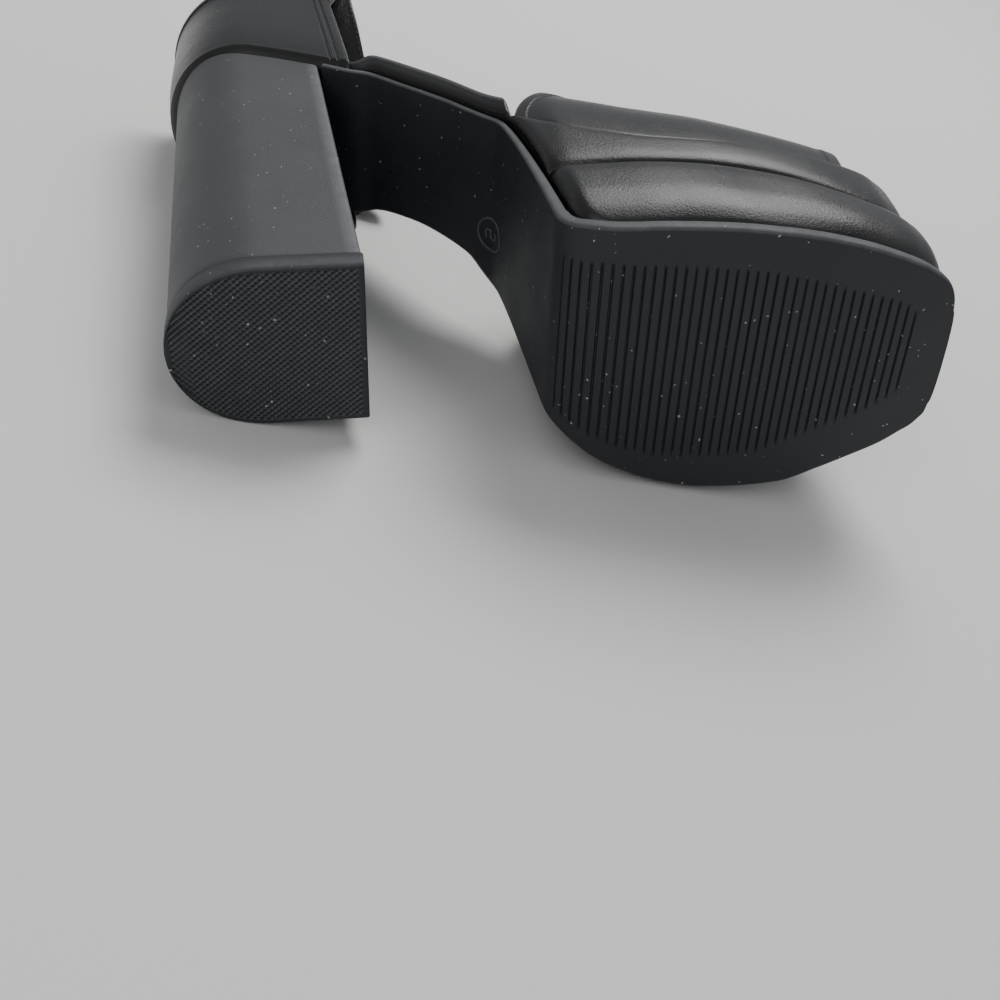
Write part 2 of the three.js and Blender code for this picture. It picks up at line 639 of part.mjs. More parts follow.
// Parts made flat in the buckle's own plane, then set on the strap
function setOnBuckle(geometry, run, face) {
  const basis = new THREE.Matrix4().makeBasis(buckleRun, buckleWide, buckleFace);
  basis.setPosition(onBuckle(run, face));
  return geometry.applyMatrix4(basis);
}

const extruded = (shape, depth) =>
  new THREE.ExtrudeGeometry(shape, { depth, bevelEnabled: false, curveSegments: 3 });

function roundedFrame(long, wide, hollowLong, hollowWide) {
  const rectangle = (target, halfLong, halfWide) => {
    const c = 1;
    target.moveTo(-halfLong + c, -halfWide);
    target.lineTo(halfLong - c, -halfWide);
    target.quadraticCurveTo(halfLong, -halfWide, halfLong, -halfWide + c);
    target.lineTo(halfLong, halfWide - c);
    target.quadraticCurveTo(halfLong, halfWide, halfLong - c, halfWide);
    target.lineTo(-halfLong + c, halfWide);
    target.quadraticCurveTo(-halfLong, halfWide, -halfLong, halfWide - c);
    target.lineTo(-halfLong, -halfWide + c);
    target.quadraticCurveTo(-halfLong, -halfWide, -halfLong + c, -halfWide);
    return target;
  };
  const shape = rectangle(new THREE.Shape(), long / 2, wide / 2);
  shape.holes.push(rectangle(new THREE.Path(), hollowLong / 2, hollowWide / 2));
  return shape;
}

function buckleFrame() {
  const shape = roundedFrame(
    BUCKLE_OPENING_LONG + 2 * BUCKLE_BAR, BUCKLE_OPENING_WIDE + 2 * BUCKLE_BAR,
    BUCKLE_OPENING_LONG, BUCKLE_OPENING_WIDE,
  );
  const frame = extruded(shape, BUCKLE_BAR);
  frame.translate(0, 0, -BUCKLE_BAR / 2);
  return setOnBuckle(frame, 0, 0);
}

function buckleProng() {
  const reach = frameEnd;
  const prong = new THREE.CapsuleGeometry(PRONG_RADIUS, reach - 2 * PRONG_RADIUS, 4, 10);
  prong.rotateZ(Math.PI / 2);
  return setOnBuckle(prong, -reach / 2 - 0.4, BUCKLE_BAR / 2 + GAP + PRONG_RADIUS);
}

// Keeper: a flat loop round the buckle strap and the tail that lies on it
function strapKeeper() {
  const high = 2 * STRAP_THICKNESS + 4 * GAP;
  const wide = STRAP_WIDTH + 2 * GAP + 0.4;
  const shape = roundedFrame(high + 2 * KEEPER_WALL, wide + 2 * KEEPER_WALL, high, wide);
  const keeper = extruded(shape, KEEPER_WIDTH);
  keeper.rotateY(Math.PI / 2);
  return setOnBuckle(keeper, frameEnd + KEEPER_SPACE, layered / 2);
}

const shoe = new THREE.Group();
shoe.add(
  named('outsole', outsole(), blackRubber()),
  named('platform_lower', platformLower(), blackWrap()),
  named('platform_upper', platformUpper(), blackWrap()),
  named('footbed', footbed(), blackWrap()),
  named('heel', heel(), matteWrap()),
  named('heel_tip', heelTip(), blackRubber()),
  named('vamp', vamp(), blackWrap()),
  named('counter', counter(), blackWrap()),
  named('ankle_strap', ankleStrap(), blackWrap()),
  named('buckle_strap', buckleStrap(), blackWrap()),
  named('buckle_frame', buckleFrame(), darkMetal()),
  named('buckle_prong', buckleProng(), darkMetal()),
  named('strap_keeper', strapKeeper(), blackWrap()),
);

// Lying on the medial side: the hull's face under the centre of mass turns down to the floor
const carriers = ['outsole', 'platform_lower', 'platform_upper', 'heel', 'heel_tip', 'vamp', 'counter'];

function massCentre(meshes) {
  const sum = vec(0, 0, 0);
  let total = 0;
  for (const { geometry } of meshes) {
    const flat = geometry.index ? geometry.toNonIndexed() : geometry;
    const at = flat.getAttribute('position');
    const corner = (i) => vec(at.getX(i), at.getY(i), at.getZ(i));
    for (let i = 0; i < at.count; i += 3) {
      const [a, b, c] = [corner(i), corner(i + 1), corner(i + 2)];
      const volume = a.dot(b.clone().cross(c)) / 6;
      sum.addScaledVector(a.add(b).add(c), volume / 4);
      total += volume;
    }
  }
  return sum.divideScalar(total);
}

function restingNormal(group) {
  const centre = massCentre(group.children);
  const points = [];
  for (const { name, geometry } of group.children) {
    const at = geometry.getAttribute('position');
    if (!carriers.includes(name)) continue;
    for (let i = 0; i < at.count; i += 1) points.push(vec(at.getX(i), at.getY(i), at.getZ(i)));
  }
  const hull = new ConvexHull().setFromPoints(points);
  const under = hull.faces.filter((face) => {
    if (face.normal.y < 0.7) return false;
    let edge = face.edge;
    do {
      const from = edge.tail().point;
      const along = edge.head().point.clone().sub(from);
      if (along.cross(centre.clone().sub(from)).dot(face.normal) < 0) return false;
      edge = edge.next;
    } while (edge !== face.edge);
    return true;
  });
  return under[0].normal.clone();
}

const lying = new THREE.Group();
lying.add(shoe);
const toFloor = new THREE.Quaternion().setFromUnitVectors(restingNormal(shoe), vec(0, 0, -1));
const toeward = vec(1, 0, 0).applyQuaternion(toFloor);
const heading = new THREE.Quaternion().setFromAxisAngle(vec(0, 0, 1), -Math.atan2(toeward.y, toeward.x));
lying.quaternion.copy(heading.multiply(toFloor));
lying.updateMatrixWorld(true);
const room = new THREE.Box3().setFromObject(lying, true);
lying.position.set(-(room.min.x + room.max.x) / 2, -(room.min.y + room.max.y) / 2, -room.min.z);

export default lying;
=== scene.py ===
# %% [markdown]
# A black ankle-strap platform sandal for the right foot, lying on its medial side. The block
# heel and the forefoot tread look at the camera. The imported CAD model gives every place;
# this lesson dresses it with finer surfaces and finishes, piece by piece, and lights it softly.

# %% Load the frame
import json
import math

import bpy
import numpy as np
from mathutils import Matrix


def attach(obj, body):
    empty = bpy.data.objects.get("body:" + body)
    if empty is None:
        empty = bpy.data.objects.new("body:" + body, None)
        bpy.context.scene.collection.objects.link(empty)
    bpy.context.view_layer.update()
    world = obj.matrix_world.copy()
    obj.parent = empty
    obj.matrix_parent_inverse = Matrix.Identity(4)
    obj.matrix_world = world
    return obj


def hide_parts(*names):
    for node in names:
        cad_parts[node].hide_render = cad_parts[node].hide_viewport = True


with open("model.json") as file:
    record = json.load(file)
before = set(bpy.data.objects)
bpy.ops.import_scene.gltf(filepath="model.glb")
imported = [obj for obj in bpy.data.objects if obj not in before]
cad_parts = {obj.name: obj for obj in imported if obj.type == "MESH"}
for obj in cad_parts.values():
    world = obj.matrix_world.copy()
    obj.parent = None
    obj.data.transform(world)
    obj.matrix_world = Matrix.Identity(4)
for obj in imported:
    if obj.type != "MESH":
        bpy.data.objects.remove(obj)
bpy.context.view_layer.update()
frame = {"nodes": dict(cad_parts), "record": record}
print("CAD nodes:", ", ".join(sorted(frame["nodes"])))

# %% [markdown]
# Shapes are easiest to describe in the shoe's own axes: x from the heel's back to the toe, y to
# the medial side, z up from the walking plane, in millimetres. The record's two walking-face
# mounts say where those axes lie in the row frame, so no placing numbers are repeated here.

# %% The shoe's own axes in the row frame
mounts = {m["name"]: m for m in frame["record"]["mounts"]}
TIP_MOUNT = np.array([30.0, 0.0, 0.0])
TREAD_MOUNT = np.array([150.0, 10.0, 0.0])
tip_place = np.array(mounts["heel_tip_face"]["pos_m"])
tread_place = np.array(mounts["tread_face"]["pos_m"])
shoe_up = -np.array(mounts["tread_face"]["axis"])
shoe_up /= np.linalg.norm(shoe_up)
between = tread_place - tip_place
between -= shoe_up * between.dot(shoe_up)
between /= np.linalg.norm(between)
turn = math.atan2(*(TREAD_MOUNT - TIP_MOUNT)[[1, 0]])
shoe_axes = np.stack([
    math.cos(turn) * between - math.sin(turn) * np.cross(shoe_up, between),
    math.sin(turn) * between + math.cos(turn) * np.cross(shoe_up, between),
    shoe_up,
])
shoe_origin = tip_place - TIP_MOUNT[0] / 1000 * shoe_axes[0]


def in_row(points):
    """Row-frame metres of shoe-frame millimetres: origin + x·X + y·Y + z·Z, over 1000."""
    return shoe_origin + np.asarray(points, float) @ shoe_axes / 1000


print("shoe origin in the row frame:", shoe_origin.round(5))

# %% [markdown]
# The same driving sizes and tables shape the CAD solids. Keeping them under the same names means
# a surface here lies on its solid there.

# %% Driving sizes, in millimetres
LENGTH, TREAD_WIDTH, PLATFORM_HEIGHT, LOWER_TOP, SEAT_HEIGHT = 225, 92, 48, 34.5, 140
TREAD_THICKNESS, SHANK_THICKNESS, TOE_SPRING = 4, 2, 3
FOOTBED_THICKNESS, FOREFOOT_BOARD = 8, 4.5
SEAT_HALF, SEAT_ROUND = 28, 27
TIP_DEPTH, TIP_HALF, TOP_DEPTH, TOP_HALF, TOP_OVERHANG = 54, 25.2, 48.5, 28.4, 1.9
TIP_THICKNESS, TIP_PROUD = 6, 0.4
LAYER_JOINT_DROP, LOWER_CORNER, UPPER_CORNER, UPPER_WALL, GAP = 8, 4, 2.5, 2, 0.3
WAIST_FULLNESS, WAIST_STAND = 1.35, 3
VAMP_HEIGHT, VAMP_REAR, VAMP_FRONT, VAMP_SQUARENESS, VAMP_STAND = 56, 105, 202, 2.4, 2.2
COUNTER_HEIGHT, COUNTER_DROP, COUNTER_FRONT, COUNTER_LEAN = 46.5, 1, 56, 6
COUNTER_BULGE, COUNTER_TUCK = 0.8, 8
STRAP_WIDTH, STRAP_THICKNESS = 11, 1.8
BUCKLE_BAR, OPENING_LONG, OPENING_WIDE = 1.8, 9, 13
KEEPER_WIDTH, KEEPER_WALL, KEEPER_SPACE, TAIL_END = 4, 1.2, 1.1, 13

# share of the length, rise of the last's bottom as a share of the seat's height over the platform
LAST_PROFILE = [
    (-0.02, 1.0), (0.09, 0.94), (0.21, 0.81), (0.255, 0.745), (0.293, 0.68), (0.333, 0.585),
    (0.378, 0.468), (0.422, 0.335), (0.467, 0.222), (0.511, 0.13), (0.556, 0.068),
    (0.622, 0.015), (0.689, 0.0), (0.778, 0.0), (0.889, 0.02), (1.0, 0.055),
]
# share of the length, lateral and medial edge of the plan as shares of the tread's width
OUTLINE = [
    (0.25, -0.323, 0.23), (0.3, -0.318, 0.195), (0.345, -0.321, 0.185), (0.385, -0.326, 0.197),
    (0.41, -0.329, 0.212), (0.43, -0.33, 0.262), (0.45, -0.333, 0.31), (0.47, -0.34, 0.367),
    (0.49, -0.348, 0.405), (0.511, -0.355, 0.447), (0.535, -0.356, 0.493), (0.58, -0.356, 0.558),
    (0.63, -0.351, 0.612), (0.69, -0.34, 0.647), (0.75, -0.32, 0.655), (0.8, -0.298, 0.648),
    (0.86, -0.26, 0.594), (0.9, -0.226, 0.55), (0.943, -0.18, 0.505), (0.966, -0.144, 0.473),
    (0.98, -0.117, 0.455), (0.99, -0.085, 0.43), (0.9965, -0.046, 0.41), (1, 0, 0.37),
]


# %% Curves through the tables
def curve_through(table, value, x):
    """Monotone cubic through a table: Hermite pieces whose slope at a point is the harmonic
    mean of the slopes on both sides, and 0 where those point opposite ways or at an end."""
    rows = np.asarray(table, float)
    s, v = rows[:, 0], rows[:, value]
    x = np.clip(np.asarray(x, float), s[0], s[-1])
    rise = np.diff(v) / np.diff(s)
    before, after = rise[:-1], rise[1:]
    slope = np.zeros_like(v)
    same = before * after > 0
    slope[1:-1][same] = 2 * before[same] * after[same] / (before[same] + after[same])
    i = np.clip(np.searchsorted(s, x, side="right") - 1, 0, len(s) - 2)
    step = s[i + 1] - s[i]
    t = (x - s[i]) / step
    return ((2 * t**3 - 3 * t**2 + 1) * v[i] + (t**3 - 2 * t**2 + t) * step * slope[i]
            + (3 * t**2 - 2 * t**3) * v[i + 1] + (t**3 - t**2) * step * slope[i + 1])


def smooth(start, end, x):
    """0 before start, 1 after end, and 3t² - 2t³ between, with t the share of the way."""
    t = np.clip((np.asarray(x, float) - start) / (end - start), 0, 1)
    return t * t * (3 - 2 * t)


def mix(a, b, share):
    """The value a share of the way from a to b."""
    return a + (b - a) * share


def unit(v):
    """Vectors scaled to length 1 along their last axis."""
    return v / np.maximum(np.linalg.norm(v, axis=-1, keepdims=True), 1e-12)


def xyz(x, y, z):
    """Points from three arrays, or numbers, of matching shapes."""
    return np.stack(np.broadcast_arrays(x, y, z), axis=-1).astype(float)


def full_turn(steps):
    """Equal angles once round, without the repeated last one."""
    return np.linspace(0, 2 * math.pi, steps + 1)[:-1]


def way_along(points):
    """Length of the path from its start to each of its points."""
    return np.concatenate([[0], np.cumsum(np.linalg.norm(np.diff(points, axis=0), axis=1))])


def last_bottom(x):
    """Height of the last's bottom: the platform's height plus its share of the seat's rise."""
    return PLATFORM_HEIGHT + (SEAT_HEIGHT - PLATFORM_HEIGHT) * curve_through(
        LAST_PROFILE, 1, np.asarray(x) / LENGTH)


def lateral_edge(x):
    """The outline's y on the lateral side, below 0."""
    return TREAD_WIDTH * curve_through(OUTLINE, 1, np.asarray(x) / LENGTH)


def medial_edge(x):
    """The outline's y on the medial side, above 0."""
    return TREAD_WIDTH * curve_through(OUTLINE, 2, np.asarray(x) / LENGTH)


def toe_spring(x):
    """Rise of the tread towards the toe's end, growing with the 1.5 power of a smooth step."""
    return TOE_SPRING * smooth(0.88, 1.03, np.asarray(x) / LENGTH) ** 1.5


def eased(start, end, steps):
    """Stations that draw together towards the end: start + (end - start)·sin(t·90°)."""
    return start + (end - start) * np.sin(np.linspace(0, math.pi / 2, steps + 1))


print("seat height", float(last_bottom(0)), "mm, platform", float(last_bottom(160)), "mm")

# %% [markdown]
# Every new piece is a stack of equal rings of points: a profile carried along a path. One helper
# joins the rings into quads, closes the two ends and turns the faces outwards by the sign of the
# enclosed volume. Another makes the Blender object and hides the CAD parts it stands for.


# %% Rings into a closed surface
def ring_faces(rings, around, ends):
    """Quads between neighbouring rings. Ends: fan closes on a middle point, strip joins points
    k and -1-k across the ring, and loop joins the last ring to the first."""
    k = np.arange(around)
    nxt = (k + 1) % around
    r = np.arange(rings - 1)[:, None] * around
    quads = [np.stack([r + k, r + nxt, r + around + nxt, r + around + k], -1).reshape(-1, 4)]
    tris = np.zeros((0, 3), int)
    last = (rings - 1) * around
    if ends == "loop":
        quads.append(np.stack([last + k, last + nxt, nxt, k], -1))
    elif ends == "strip":
        near = np.arange(around // 2 - 1)
        far = around - 1 - near
        cap = np.stack([near, far, far - 1, near + 1], -1)
        quads += [cap, last + cap[:, ::-1]]
    else:
        first, second = rings * around, rings * around + 1
        tris = np.concatenate([
            np.stack([nxt, k, np.full(around, first)], -1),
            np.stack([last + k, last + nxt, np.full(around, second)], -1),
        ])
    return np.concatenate(quads), tris


def outward(points, quads, tris):
    """The same faces, all turned over when the volume they enclose comes out negative."""
    def volume(a, b, c):
        return np.einsum("ij,ij->i", points[a], np.cross(points[b], points[c])).sum()
    total = volume(quads[:, 0], quads[:, 1], quads[:, 2])
    total += volume(quads[:, 0], quads[:, 2], quads[:, 3])
    if len(tris):
        total += volume(tris[:, 0], tris[:, 1], tris[:, 2])
    return (quads, tris) if total > 0 else (quads[:, ::-1], tris[:, ::-1])


def add_object(name, data):
    """A new object in the scene's own collection."""
    made = bpy.data.objects.new(name, data)
    bpy.context.scene.collection.objects.link(made)
    return made


def add_piece(name, points, quads, tris, finishes, slot, stands_for=(), sharp=38, inside=None,
              edge=None):
    """One mesh piece of shoe-frame points that rides on the shoe. inside marks the quads that
    take the second finish, and edge is a value per point for the painted edge highlight."""
    placed = in_row(points)
    quads, tris = outward(placed, quads, tris)
    mesh = bpy.data.meshes.new(name)
    mesh.from_pydata(placed.tolist(), [], quads.tolist() + tris.tolist())
    for material in finishes:
        mesh.materials.append(material)
    if inside is not None:
        marks = np.zeros(len(quads) + len(tris), np.int32)
        marks[:len(inside)] = inside
        mesh.polygons.foreach_set("material_index", marks)
    wear = mesh.attributes.new("edge", "FLOAT", "POINT")
    wear.data.foreach_set("value", np.zeros(len(placed)) if edge is None else edge)
    mesh.shade_smooth()
    mesh.set_sharp_from_angle(angle=math.radians(sharp))
    mesh.update()
    piece = add_object(name, mesh)
    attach(piece, "root")
    if stands_for:
        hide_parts(*stands_for)
    size = (placed.max(0) - placed.min(0)) * 1000
    print(f"{name}: {len(quads) * 2 + len(tris)} triangles, {size.round(1)} mm")
    return piece


def add_rings(name, rings, finishes, slot, ends="fan", inside=None, edge=None, **more):
    """A piece from rings of shape (rings, around, 3). inside and edge are given per ring point
    or per (ring, point), and are repeated over the rings where needed."""
    count, around, _ = rings.shape
    quads, tris = ring_faces(count, around, ends)
    points = rings.reshape(-1, 3)
    if ends == "fan":
        points = np.concatenate([points, rings[0].mean(0)[None], rings[-1].mean(0)[None]])
    if inside is not None:
        inside = np.broadcast_to(inside, (count - 1, around)).reshape(-1)
    if edge is not None:
        edge = np.broadcast_to(edge, (count, around)).reshape(-1)
        edge = np.concatenate([edge, np.zeros(len(points) - len(edge))])
    return add_piece(name, points, quads, tris, finishes, slot, inside=inside, edge=edge, **more)


# %% [markdown]
# Finishes come next, because each piece is given one as it is made. Effects that several finishes
# share are node groups with named inputs: fine grain, dust specks, slow variation and painted
# edge highlights. They could be painted images, but noise in object coordinates needs no
# unwrapping and keeps its real size on every piece.

# %% Small helpers for node trees
def feed(tree, socket, value):
    """Give a socket a number or colour, or link another node's output to it."""
    if isinstance(value, bpy.types.NodeSocket):
        tree.links.new(value, socket)
    else:
        socket.default_value = value


def node(tree, kind, inputs=None, **settings):
    """A shader node with its settings; each input is a number, a colour or another's socket."""
    made = tree.nodes.new("ShaderNode" + kind)
    for key, value in settings.items():
        setattr(made, key, value)
    for socket, value in (inputs or {}).items():
        feed(tree, made.inputs[socket], value)
    return made


def new_group(name, inputs, output):
    """An empty shader group: named float or vector inputs and one float output."""
    tree = bpy.data.node_groups.new(name, "ShaderNodeTree")
    for label, value in inputs.items():
        kind = "NodeSocketVector" if value is None else "NodeSocketFloat"
        socket = tree.interface.new_socket(label, in_out="INPUT", socket_type=kind)
        if value is not None:
            socket.default_value = value
    tree.interface.new_socket(output, in_out="OUTPUT", socket_type="NodeSocketFloat")
    start = tree.nodes.new("NodeGroupInput").outputs
    end = tree.nodes.new("NodeGroupOutput").inputs
    return tree, start, end


def math_node(tree, operation, a, b=0.0, clamp=False):
    """The result socket of one sum, product or comparison."""
    made = node(tree, "Math", {0: a, 1: b}, operation=operation, use_clamp=clamp)
    return made.outputs[0]


# %% Shared effects
grain_group, start, end = new_group("Fine grain", {"Vector": None, "Scale": 1500.0}, "Height")
cells = node(grain_group, "TexVoronoi", {"Vector": start["Vector"], "Scale": start["Scale"]},
             feature="SMOOTH_F1")
fuzz_scale = math_node(grain_group, "MULTIPLY", start["Scale"], 1.7)
fuzz = node(grain_group, "TexNoise", {"Vector": start["Vector"], "Scale": fuzz_scale,
                                      "Detail": 3.0, "Roughness": 0.6})
both = math_node(grain_group, "MULTIPLY", cells.outputs["Distance"], 0.7)
both = math_node(grain_group, "ADD", both, fuzz.outputs["Fac"])
grain_group.links.new(both, end["Height"])

speck_group, start, end = new_group(
    "Dust specks", {"Vector": None, "Scale": 300.0, "Share": 0.1, "Size": 0.2}, "Mask")
bent = node(speck_group, "TexNoise", {"Vector": start["Vector"], "Scale": 900.0, "Detail": 1.0})
shift = node(speck_group, "VectorMath", {0: bent.outputs["Color"], 1: (0.0012, 0.0012, 0.0012)},
             operation="MULTIPLY")
shifted = node(speck_group, "VectorMath", {0: start["Vector"], 1: shift.outputs[0]},
               operation="ADD")
spots = node(speck_group, "TexVoronoi", {"Vector": shifted.outputs[0], "Scale": start["Scale"]})
chance = node(speck_group, "SeparateColor", {0: spots.outputs["Color"]})
rare = math_node(speck_group, "LESS_THAN", chance.outputs[0], start["Share"])
reach = math_node(speck_group, "MULTIPLY", chance.outputs[1], start["Size"])
near = math_node(speck_group, "LESS_THAN", spots.outputs["Distance"], reach)
speck_group.links.new(math_node(speck_group, "MULTIPLY", rare, near), end["Mask"])

drift_group, start, end = new_group("Slow variation", {"Vector": None, "Scale": 40.0}, "Value")
clouds = node(drift_group, "TexNoise", {"Vector": start["Vector"], "Scale": start["Scale"],
                                        "Detail": 4.0, "Roughness": 0.55})
spread = node(drift_group, "MapRange", {"Value": clouds.outputs["Fac"], "From Min": 0.35,
                                        "From Max": 0.65})
drift_group.links.new(spread.outputs[0], end["Value"])

# Painted highlight on edges: a paler colour where a piece's edge attribute is high, broken up by
# noise.
highlight_group, start, end = new_group("Painted edge highlight", {"Vector": None, "Edge": 0.0}, "Mask")
highlight_noise = node(highlight_group, "TexNoise", {"Vector": start["Vector"], "Scale": 260.0, "Detail": 4.0})
highlight_mask = math_node(highlight_group, "MULTIPLY", start["Edge"],
                   math_node(highlight_group, "ADD", highlight_noise.outputs["Fac"], 0.25), clamp=True)
highlight_group.links.new(highlight_mask, end["Mask"])
print("shared effects:", ", ".join(g.name for g in bpy.data.node_groups))


# %% One recipe for every finish
def place_group(tree, group, vector, **values):
    """A shared effect in a material's tree; returns its output socket."""
    made = tree.nodes.new("ShaderNodeGroup")
    made.node_tree = group
    for label, value in {"Vector": vector, **values}.items():
        feed(tree, made.inputs[label], value)
    return made.outputs[0]


def mix_colour(tree, share, a, b):
    """Colour a, turning into b as share goes from 0 to 1."""
    made = tree.nodes.new("ShaderNodeMix")
    made.data_type = "RGBA"
    for socket, value in ((0, share), (6, a), (7, b)):
        feed(tree, made.inputs[socket], value)
    return made.outputs[2]


def finish(name, base, light, roughness, grain, dust=None, edge_highlight=None, metal=0.0, specular=0.5,
           drift=40.0):
    """A Principled material. Colour drifts between base and light, roughness between its two
    values; grain is (cells per metre, depth in metres); dust is (strength, share, size) of
    pale specks; edge_highlight is the painted highlight colour, shown where the edge attribute is
    high."""
    material = bpy.data.materials.new(name)
    material.use_nodes = True
    tree = material.node_tree
    shader = tree.nodes["Principled BSDF"]
    place = node(tree, "TexCoord").outputs["Object"]
    slow = place_group(tree, drift_group, place, Scale=drift)
    colour = mix_colour(tree, slow, (*base, 1), (*light, 1))
    rough = node(tree, "MapRange", {"Value": slow, "To Min": roughness[0],
                                    "To Max": roughness[1]}).outputs[0]
    if edge_highlight:
        # painted highlight: a paler colour where the piece's edge attribute is high
        edge = node(tree, "Attribute", attribute_name="edge").outputs["Fac"]
        mask = place_group(tree, highlight_group, place, Edge=edge)
        colour = mix_colour(tree, mask, colour, (*edge_highlight, 1))
    if dust:
        strength, share, size = dust
        fine = place_group(tree, speck_group, place, Scale=900.0, Share=share, Size=size)
        large = place_group(tree, speck_group, place, Scale=260.0, Share=share * 0.35,
                            Size=size * 0.5)
        specks = math_node(tree, "MAXIMUM", fine, large)
        specks = math_node(tree, "MULTIPLY", specks, strength)
        colour = mix_colour(tree, specks, colour, (0.32, 0.32, 0.31, 1))
        rough = math_node(tree, "ADD", rough, math_node(tree, "MULTIPLY", specks, 0.4), True)
    tree.links.new(colour, shader.inputs["Base Color"])
    tree.links.new(rough, shader.inputs["Roughness"])
    shader.inputs["Metallic"].default_value = metal
    shader.inputs["Specular IOR Level"].default_value = specular
    height = place_group(tree, grain_group, place, Scale=grain[0])
    bump = node(tree, "Bump", {"Height": height, "Distance": grain[1], "Strength": 1.0})
    tree.links.new(bump.outputs[0], shader.inputs["Normal"])
    return material


# %% [markdown]
# The sole unit is one moulding of near-black, faintly blue rubber with a fine matte surface that
# shows every pale speck. Platform, waist, vamp, counter and straps share a satin coated wrap. The
# heel's wrap is duller and greyer. Inside is a soft lining; the buckle is polished steel.

# %% The finishes
# Each finish's edge_highlight colour is a painted highlight on the edges that a piece's edge
# attribute marks.
rubber = finish("matte sole rubber", (0.0132, 0.0152, 0.0195), (0.0168, 0.0190, 0.0232),
                (0.54, 0.66), (2600.0, 0.00007), dust=(0.9, 0.055, 0.3),
                edge_highlight=(0.085, 0.088, 0.093), specular=0.4)
wrap = finish("satin black wrap", (0.0085, 0.0087, 0.0093), (0.0125, 0.0126, 0.0130),
              (0.25, 0.35), (1500.0, 0.00007), dust=(0.5, 0.012, 0.2),
              edge_highlight=(0.04, 0.04, 0.041), specular=0.31)
heel_wrap = finish("matte heel wrap", (0.034, 0.036, 0.040), (0.043, 0.045, 0.049),
                   (0.5, 0.6), (2200.0, 0.00006), dust=(0.85, 0.06, 0.28),
                   edge_highlight=(0.11, 0.11, 0.115))
lining = finish("soft black lining", (0.014, 0.0137, 0.0135), (0.022, 0.0215, 0.021),
                (0.62, 0.72), (1100.0, 0.00005))
thread = finish("black thread", (0.030, 0.030, 0.031), (0.044, 0.044, 0.045), (0.45, 0.55),
                (4000.0, 0.00004))
# The holes' near-black plug is painted shade: it stands for the dark inside of a hole.
hole_shade = finish("painted hole shade", (0.0015, 0.0015, 0.0015), (0.002, 0.002, 0.002), (0.8, 0.9),
                (4000.0, 0.00001))
steel = finish("polished steel", (0.52, 0.52, 0.53), (0.58, 0.58, 0.59), (0.16, 0.26),
               (3000.0, 0.000004), metal=1.0)
print("finishes:", ", ".join(m.name for m in bpy.data.materials))

# %% [markdown]
# **Outsole.** On the real shoe one rubber unit covers the forefoot as a tread, turns up behind
# the platform and runs on as a thin shank cover to the heel. It could be an extruded plate, but
# a profile carried along the tread's side view gives all three in one skin. The tread's straight
# cross grooves are cut by lifting the stations that fall in a groove, inside a plain border.

# %% The sole unit's path in side view
REAR_TURN, REAR_FOOT, REAR_TOP = 0.58 * LENGTH, 0.48 * LENGTH, 0.449 * LENGTH
REAR_JOIN = 0.436 * LENGTH
SHANK_END = TOP_DEPTH - TOP_OVERHANG + 1.2
REAR_JOIN_SHARE, JOINT_REACH = 0.93, 0.018 * LENGTH
GROOVE_PITCH, GROOVE_HALF, GROOVE_DEPTH = 2.93, 0.32, 0.8
GROOVES_FROM, GROOVES_TO = 106.8, LENGTH - 12.3
BORDER_LATERAL, BORDER_MEDIAL = 11.5, 13.5
FACE_POINTS, CORNER_POINTS = 72, 6


def shank_face(x):
    """Underside height of the shank cover, under the last's bottom by its slanted thickness."""
    slope = (last_bottom(np.asarray(x) + 1) - last_bottom(np.asarray(x) - 1)) / 2
    tuck = (UPPER_WALL + GAP) * (1 - smooth(COUNTER_FRONT - 1, COUNTER_FRONT + 8, x))
    return last_bottom(x) - (GAP + SHANK_THICKNESS) * np.hypot(1, slope) - 0.1 - tuck


def bezier(corners, steps):
    """Cubic Bezier points: corners weighted by (1-t)³, 3t(1-t)², 3t²(1-t) and t³."""
    t = np.linspace(0, 1, steps + 1)[:, None]
    weights = ((1 - t)**3, 3 * t * (1 - t)**2, 3 * t * t * (1 - t), t**3)
    return sum(w * np.asarray(c, float) for w, c in zip(weights, corners))


def sole_path():
    """Dense columns: way back from the toe as LENGTH minus arc length, x, z and thickness."""
    top = float(shank_face(REAR_TOP)) * REAR_JOIN_SHARE

    def along(share, height):
        return mix(REAR_FOOT, REAR_TOP, share), top * height

    turned = bezier([(REAR_TURN, 0), (mix(REAR_TURN, REAR_FOOT, 0.6), 0), along(0, 0.05),
                     along(0.16, 0.2)], 300)
    joint = float(shank_face(REAR_JOIN))
    slope = float(shank_face(REAR_JOIN + 1)) - joint
    before = REAR_JOIN + JOINT_REACH, joint + JOINT_REACH * slope
    risen = bezier([along(0.16, 0.2), along(0.3, 0.36), before, (REAR_JOIN, joint)], 300)
    tread_x = np.linspace(LENGTH, REAR_TURN, 600)
    shank_x = np.linspace(REAR_JOIN, SHANK_END, 300)[1:]
    x = np.concatenate([tread_x, turned[1:, 0], risen[1:, 0], shank_x])
    z = np.concatenate([toe_spring(tread_x), turned[1:, 1], risen[1:, 1], shank_face(shank_x)])
    thick = np.concatenate([
        np.full(len(tread_x) + len(turned) - 1, TREAD_THICKNESS),
        mix(TREAD_THICKNESS, SHANK_THICKNESS, risen[1:, 1] / risen[-1, 1]),
        np.full(len(shank_x), SHANK_THICKNESS)])
    way = LENGTH - np.concatenate([[0], np.cumsum(np.hypot(np.diff(x), np.diff(z)))])
    return way, x, z, thick


